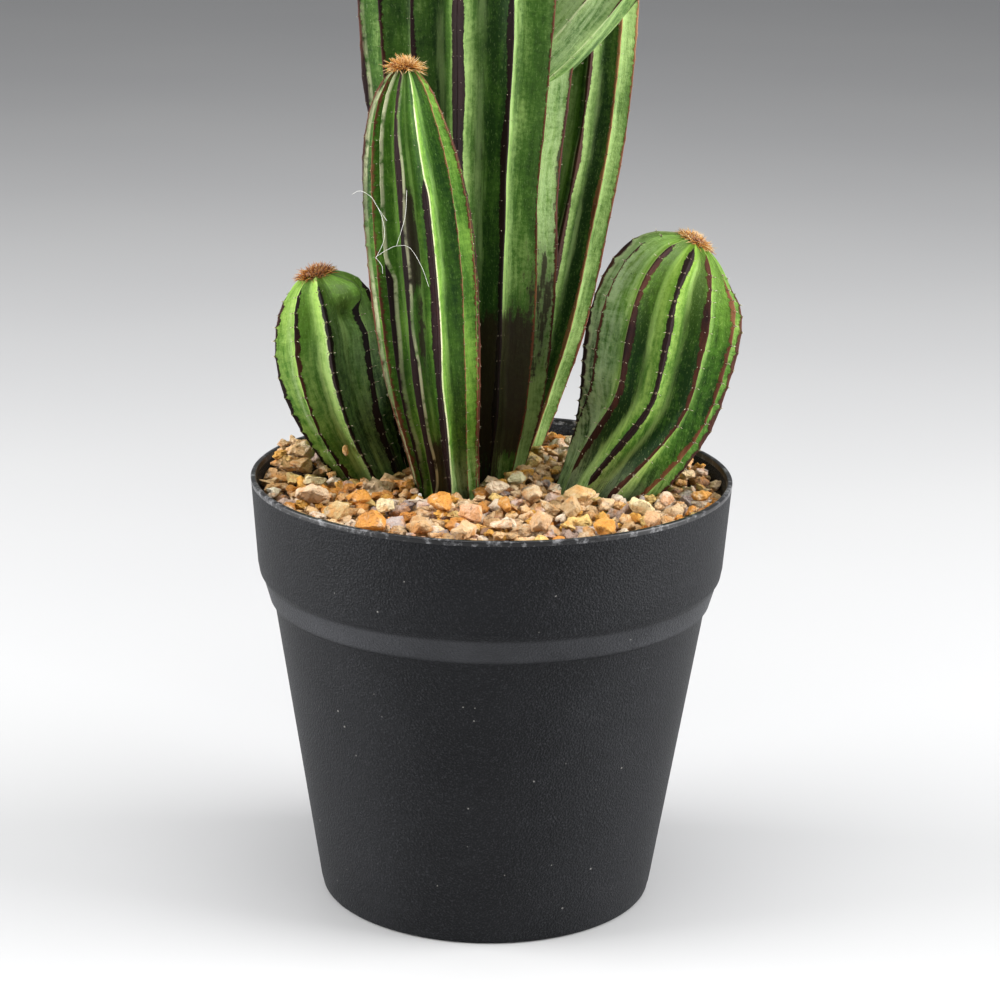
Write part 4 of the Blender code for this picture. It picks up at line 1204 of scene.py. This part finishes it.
def make_looks():
    """How the main stem, arm, front, left, right and rear stems look, in that order."""
    yield Look(
        stripes={-51: (0.75, 0.25, -1.0, 0.0, 1.0), -29: (0.65, 0.32, -1.0, 0.0, 1.0),
                 -5: (1.55, 0.16, 0.0, 0.05, 1.0), 23: (0.95, 0.10, 0.0, 0.0, 1.0),
                 49: (0.38, 0.60, 1.0, 0.0, 1.0), 76: (0.45, 0.45, 0.4, 0.0, 1.0)},
        default=(0.7, 0.3, 0.5, 0.0, 1.0), spacing=(7.0, 6.0),
        flank_tone_and_shade={283: (0.35, 0.3, 0.2, 0.3), -51: (0.40, 0.28, 0.22, 0.40), -29: (0.36, 0.22, 0.35, 0.80),
               -5: (0.85, 0.55, 0.16, 0.12), 23: (0.98, 0.72, 0.46, 0.42), 49: (0.75, 0.8, 0.8, 0.7),
               76: (0.8, 0.6, 0.4, 0.3)},
        ash=((64.0, 16.0, 30.0, 420.0, 0.45), (28.0, 5.0, 90.0, 420.0, 0.25)),
        stains=((33.0, 30.0, 8.0, 46.0, 1.0), (20.0, 22.0, -5.0, 22.0, 0.7), (60.0, 20.0, 25.0, 62.0, 0.55),
                (82.0, 9.0, 70.0, 118.0, 0.75), (200.0, 26.0, 6.0, 38.0, 0.8), (300.0, 20.0, 5.0, 30.0, 0.6)),
        bead=0.22, spines=0.28, seed=1)
    yield Look(
        stripes={}, default=(0.6, 0.4, 0.6, 0.2, 1.0), spacing=(6.5, 5.0),
        flank_tone_and_shade={8.0: (0.8, 0.6, 0.5, 0.6), 332.0: (0.8, 0.7, 0.8, 0.8), 296.0: (0.8, 0.75, 0.8, 0.8),
               44.0: (0.7, 0.5, 0.4, 0.6), 80.0: (0.7, 0.5, 0.5, 0.6)},
        ash=((-20.0, 70.0, -10.0, 90.0, 0.45),),
        bead=0.2, spines=0.28, seed=2, root_smooth=62.0)
    yield Look(
        stripes={-61: (0.30, 0.7, -0.9, 0.0, 1.0), -46: (0.80, 0.15, 0.9, 0.05, 0.60),
                 -24: (1.0, 0.18, 0.9, 0.05, 1.0), 6: (0.95, 0.15, 1.0, 0.05, 0.76),
                 40: (0.20, 0.80, 1.0, 0.0, 1.0), 66: (0.22, 0.7, 1.0, 0.0, 1.0)},
        default=(0.35, 0.5, 0.8, 0.0, 1.0), spacing=(6.0, 4.6),
        flank_tone_and_shade={-61: (0.45, 0.4, 0.35, 0.35), -46: (0.42, 0.50, 0.55, 0.45), -24: (0.30, 0.45, 0.50, 0.30),
               6: (0.78, 0.60, 0.30, 0.20), 40: (0.55, 0.60, 0.65, 0.6), 66: (0.6, 0.5, 0.4, 0.4)},
        stains=((-10.0, 19.0, -4.0, 24.0, 1.0), (-8.0, 10.0, 60.0, 86.0, 0.85), (-6.0, 7.0, 40.0, 62.0, 0.6)),
        ash=((40.0, 60.0, -6.0, 14.0, 0.5),),
        bead=0.24, spines=0.28, seed=3)
    yield Look(
        stripes={-72: (0.6, 0.2, 0.0, 0.0, 0.92), -33: (0.8, 0.28, 0.0, 0.0, 0.95),
                 5: (0.8, 0.10, -0.25, 0.0, 0.95), 47: (1.2, 0.05, 0.0, 0.0, 0.84)},
        default=(0.85, 0.2, 0.0, 0.0, 0.9), spacing=(4.5, 3.6),
        flank_tone_and_shade={-72: (0.55, 0.66, 0.62, 0.50), -33: (0.40, 0.46, 0.80, 0.75), 5: (0.14, 0.16, 0.32, 0.22),
               47: (0.08, 0.2, 0.25, 0.15)},
        ash=((-41.0, 4.0, 3.0, 44.0, 0.9), (-60.0, 3.0, 12.0, 48.0, 0.5), (40.0, 70.0, -5.0, 46.0, 0.22)),
        bumps=((46.0, 52.0, 5.2, 4.3), (36.0, 46.0, 2.6, -2.4), (58.0, 45.0, 2.8, -1.8),
               (20.0, 52.5, 3.0, -1.2)),
        stains=((52.0, 10.0, 43.0, 50.0, 0.8), (60.0, 16.0, -4.0, 16.0, 0.6)),
        glow=0.38, bead=0.30, pinch=0.45, spines=0.58, seed=4)
    yield Look(
        stripes={-62: (0.40, 0.35, -0.9, 0.1, 0.9), -32: (1.15, 0.30, -0.8, 0.04, 0.95),
                 -2: (1.0, 0.18, 0.0, 0.04, 0.97), 28: (1.0, 0.42, 0.75, 0.02, 0.97),
                 57: (0.75, 0.62, 0.4, 0.0, 0.92), 83: (0.65, 0.5, 0.3, 0.0, 0.9)},
        default=(0.8, 0.3, 0.3, 0.0, 0.9), spacing=(4.6, 4.2), base_turn=-26.0,
        flank_tone_and_shade={268: (0.2, 0.2, 0.3, 0.35), -62: (0.30, 0.38, 0.50, 0.72), -32: (0.03, 0.04, 0.76, 0.40),
               -2: (0.72, 0.50, 0.10, 0.04), 28: (0.95, 0.80, 0.34, 0.24), 57: (0.90, 0.80, 0.6, 0.5),
               83: (0.7, 0.6, 0.5, 0.4)},
        ash=((-78.0, 34.0, 0.0, 62.0, 0.75), (0.0, 180.0, -6.0, 9.0, 0.5)),
        stains=((-5.0, 22.0, -4.0, 9.0, 0.5),),
        glow=0.55, bead=0.32, pinch=0.35, spines=0.62, seed=5)
    yield Look(
        stripes={-55: (0.8, 0.2, 0.5, 0.0, 1.0), -12: (1.0, 0.25, -0.6, 0.12, 1.0),
                 32: (0.75, 0.85, 1.0, 0.0, 1.0), 74: (0.4, 0.75, 0.8, 0.0, 1.0)},
        default=(0.5, 0.6, 0.6, 0.0, 1.0), spacing=(7.0, 5.5),
        flank_tone_and_shade={-55: (0.80, 0.6, 0.3, 0.2), -12: (0.85, 0.42, 0.06, 0.16), 32: (0.60, 0.62, 0.74, 0.6),
               74: (0.6, 0.6, 0.4, 0.4)},
        bead=0.24, spines=0.3, seed=6)


def main():
    """Make every visible piece of the plant and its pot."""
    place(build_pot(plastic_material(), lip_material()), "pot_plastic", "pot")
    nodes["potting_soil"].data.materials.clear()
    nodes["potting_soil"].data.materials.append(soil_material())

    purple = (0.017, 0.0045, 0.0052)
    # name of a skin: its dark, middle and light greens and its stripes' color
    skins = {"column": ((0.014, 0.044, 0.008), (0.060, 0.140, 0.020), (0.29, 0.43, 0.13), purple),
             "front stem": ((0.014, 0.050, 0.006), (0.058, 0.150, 0.014), (0.22, 0.40, 0.06), purple),
             "short stem": ((0.009, 0.036, 0.005), (0.066, 0.170, 0.018), (0.33, 0.49, 0.11), purple),
             "rear stem": ((0.014, 0.042, 0.008), (0.085, 0.165, 0.028), (0.29, 0.42, 0.13),
                           (0.06, 0.024, 0.016))}
    skins = {name: skin_material(f"{name} skin", *colors) for name, colors in skins.items()}
    horn = spine_material()
    wool = flecked_material("areole wool", (2600.0, 3.0, 0.7), (0.35, (0.035, 0.018, 0.012)),
                            (0.7, (0.28, 0.20, 0.12)), 0.85, (0.0002, 0.8), IOR=1.45, Sheen_Weight=0.2)
    bristles = bristle_material()
    pad = flecked_material("felted pad", (1600.0, 4.0, 0.7), (0.35, (0.09, 0.03, 0.012)),
                           (0.65, (0.34, 0.15, 0.05)), 0.85, (0.0004, 0.9), IOR=1.45, Sheen_Weight=0.3)
    stems = make_stems()
    # skin, gap between its rings in mm, and the tuft's bristles: number, length in mm, paleness
    plans = (("column", 1.5, 900, 4.6, 0.45), ("column", 1.4, 600, 3.6, 0.45),
             ("front stem", 0.9, 620, 3.3, 0.55), ("short stem", 0.7, 700, 2.9, 0.15),
             ("short stem", 0.8, 700, 2.6, 0.55), ("rear stem", 1.5, 500, 3.2, 0.45))
    for number, (stem, look, plan) in enumerate(zip(stems, make_looks(), plans), start=1):
        skin, ring_gap, *tuft_plan = plan
        made = build_stem(stem, look, skins[skin], ring_gap)
        place(made, "cactus_skin", *([stem.name] if stem.buried else []))
        for made in build_spines(stem, look, horn, wool):
            place(made, "bristle")
        tuft, felt = build_tuft(stem, bristles, pad, 40 + number, *tuft_plan)
        place(tuft, "bristle", f"{stem.short}_crown_tuft")
        place(felt, "bristle")

    main_stem, _, front, left, right, rear = stems
    stone = stone_material()
    for made in build_gravel((main_stem, front, left, right, rear), stone):
        place(made, "gravel")
    build_loose_stones(stone)
    place(build_bed(grit_in_painted_shade_material()), "gravel", "gravel_bed")
    perlite = flecked_material("perlite", (1800.0,), (0.3, (0.60, 0.58, 0.50)), (0.7, (0.86, 0.85, 0.80)),
                               0.7, (0.0003, 0.8), IOR=1.45)
    beads, stuck = build_specks(left, stone, perlite)
    place(beads, "stone_pale")
    place(stuck, "stone_orange")
    thread = flecked_material("stray threads", (900.0, 2.0), (0.3, (0.62, 0.62, 0.55)),
                              (0.7, (0.85, 0.86, 0.80)), 0.35, IOR=1.5)
    place(build_threads(thread), "bristle")


# ---------------------------------------------------------------- stage, light and camera

def area_light(name, at, size, power):
    """Rectangular light in metres and watts, turned towards the plant."""
    data = bpy.data.lights.new(name, "AREA")
    data.shape = "RECTANGLE"
    data.size, data.size_y = size
    data.energy = power
    made = bpy.data.objects.new(name, data)
    made.location = at
    made.rotation_euler = (Vector((0.0, 0.0, 0.15)) - Vector(at)).to_track_quat("-Z", "Y").to_euler()
    bpy.context.scene.collection.objects.link(made)


def build_stage():
    table_top = flecked_material("pale table top", (3.0, 2.0), (0.3, (0.52, 0.52, 0.525)),
                                 (0.7, (0.545, 0.545, 0.545)), 0.42, IOR=1.45)
    corners = [(x * FLOOR_REACH, y * FLOOR_REACH, 0) for x, y in ((-1, -1), (1, -1), (1, 1), (-1, 1))]
    floor = add_mesh("floor", corners, [(0, 1, 2, 3)], table_top)
    world = bpy.data.worlds.new("soft studio")
    world.use_nodes = True
    background = world.node_tree.nodes["Background"]
    background.inputs["Color"].default_value = (0.80, 0.81, 0.83, 1.0)
    background.inputs["Strength"].default_value = 0.35
    bpy.context.scene.world = world
    area_light("left softbox", (-0.95, -0.10, 0.45), (0.7, 0.9), 18.0)
    area_light("right softbox", (0.95, -0.12, 0.48), (0.7, 0.9), 21.0)
    area_light("top softbox", (0.0, -0.20, 1.25), (1.0, 0.8), 13.0)


def build_camera():
    """Camera at the photograph's viewing angle, in metres and radians."""
    at, turn, tilt, roll = Vector((0.0, -0.70, 0.300)), 0.0031, 0.2759, 0.0168
    forward = Vector((math.sin(turn) * math.cos(tilt), math.cos(turn) * math.cos(tilt), -math.sin(tilt)))
    level = Vector((math.cos(turn), -math.sin(turn), 0.0))
    above = level.cross(forward)
    right = level * math.cos(roll) + above * math.sin(roll)
    up = above * math.cos(roll) - level * math.sin(roll)
    data = bpy.data.cameras.new("camera")
    data.sensor_width = 36.0
    data.lens = 104.6
    data.clip_start = 0.02
    made = bpy.data.objects.new("camera", data)
    made.matrix_world = Matrix.Translation(at) @ Matrix((right, up, -forward)).transposed().to_4x4()
    bpy.context.scene.collection.objects.link(made)
    bpy.context.scene.camera = made


main()
build_stage()
build_camera()
bpy.context.scene.view_settings.view_transform = "Standard"
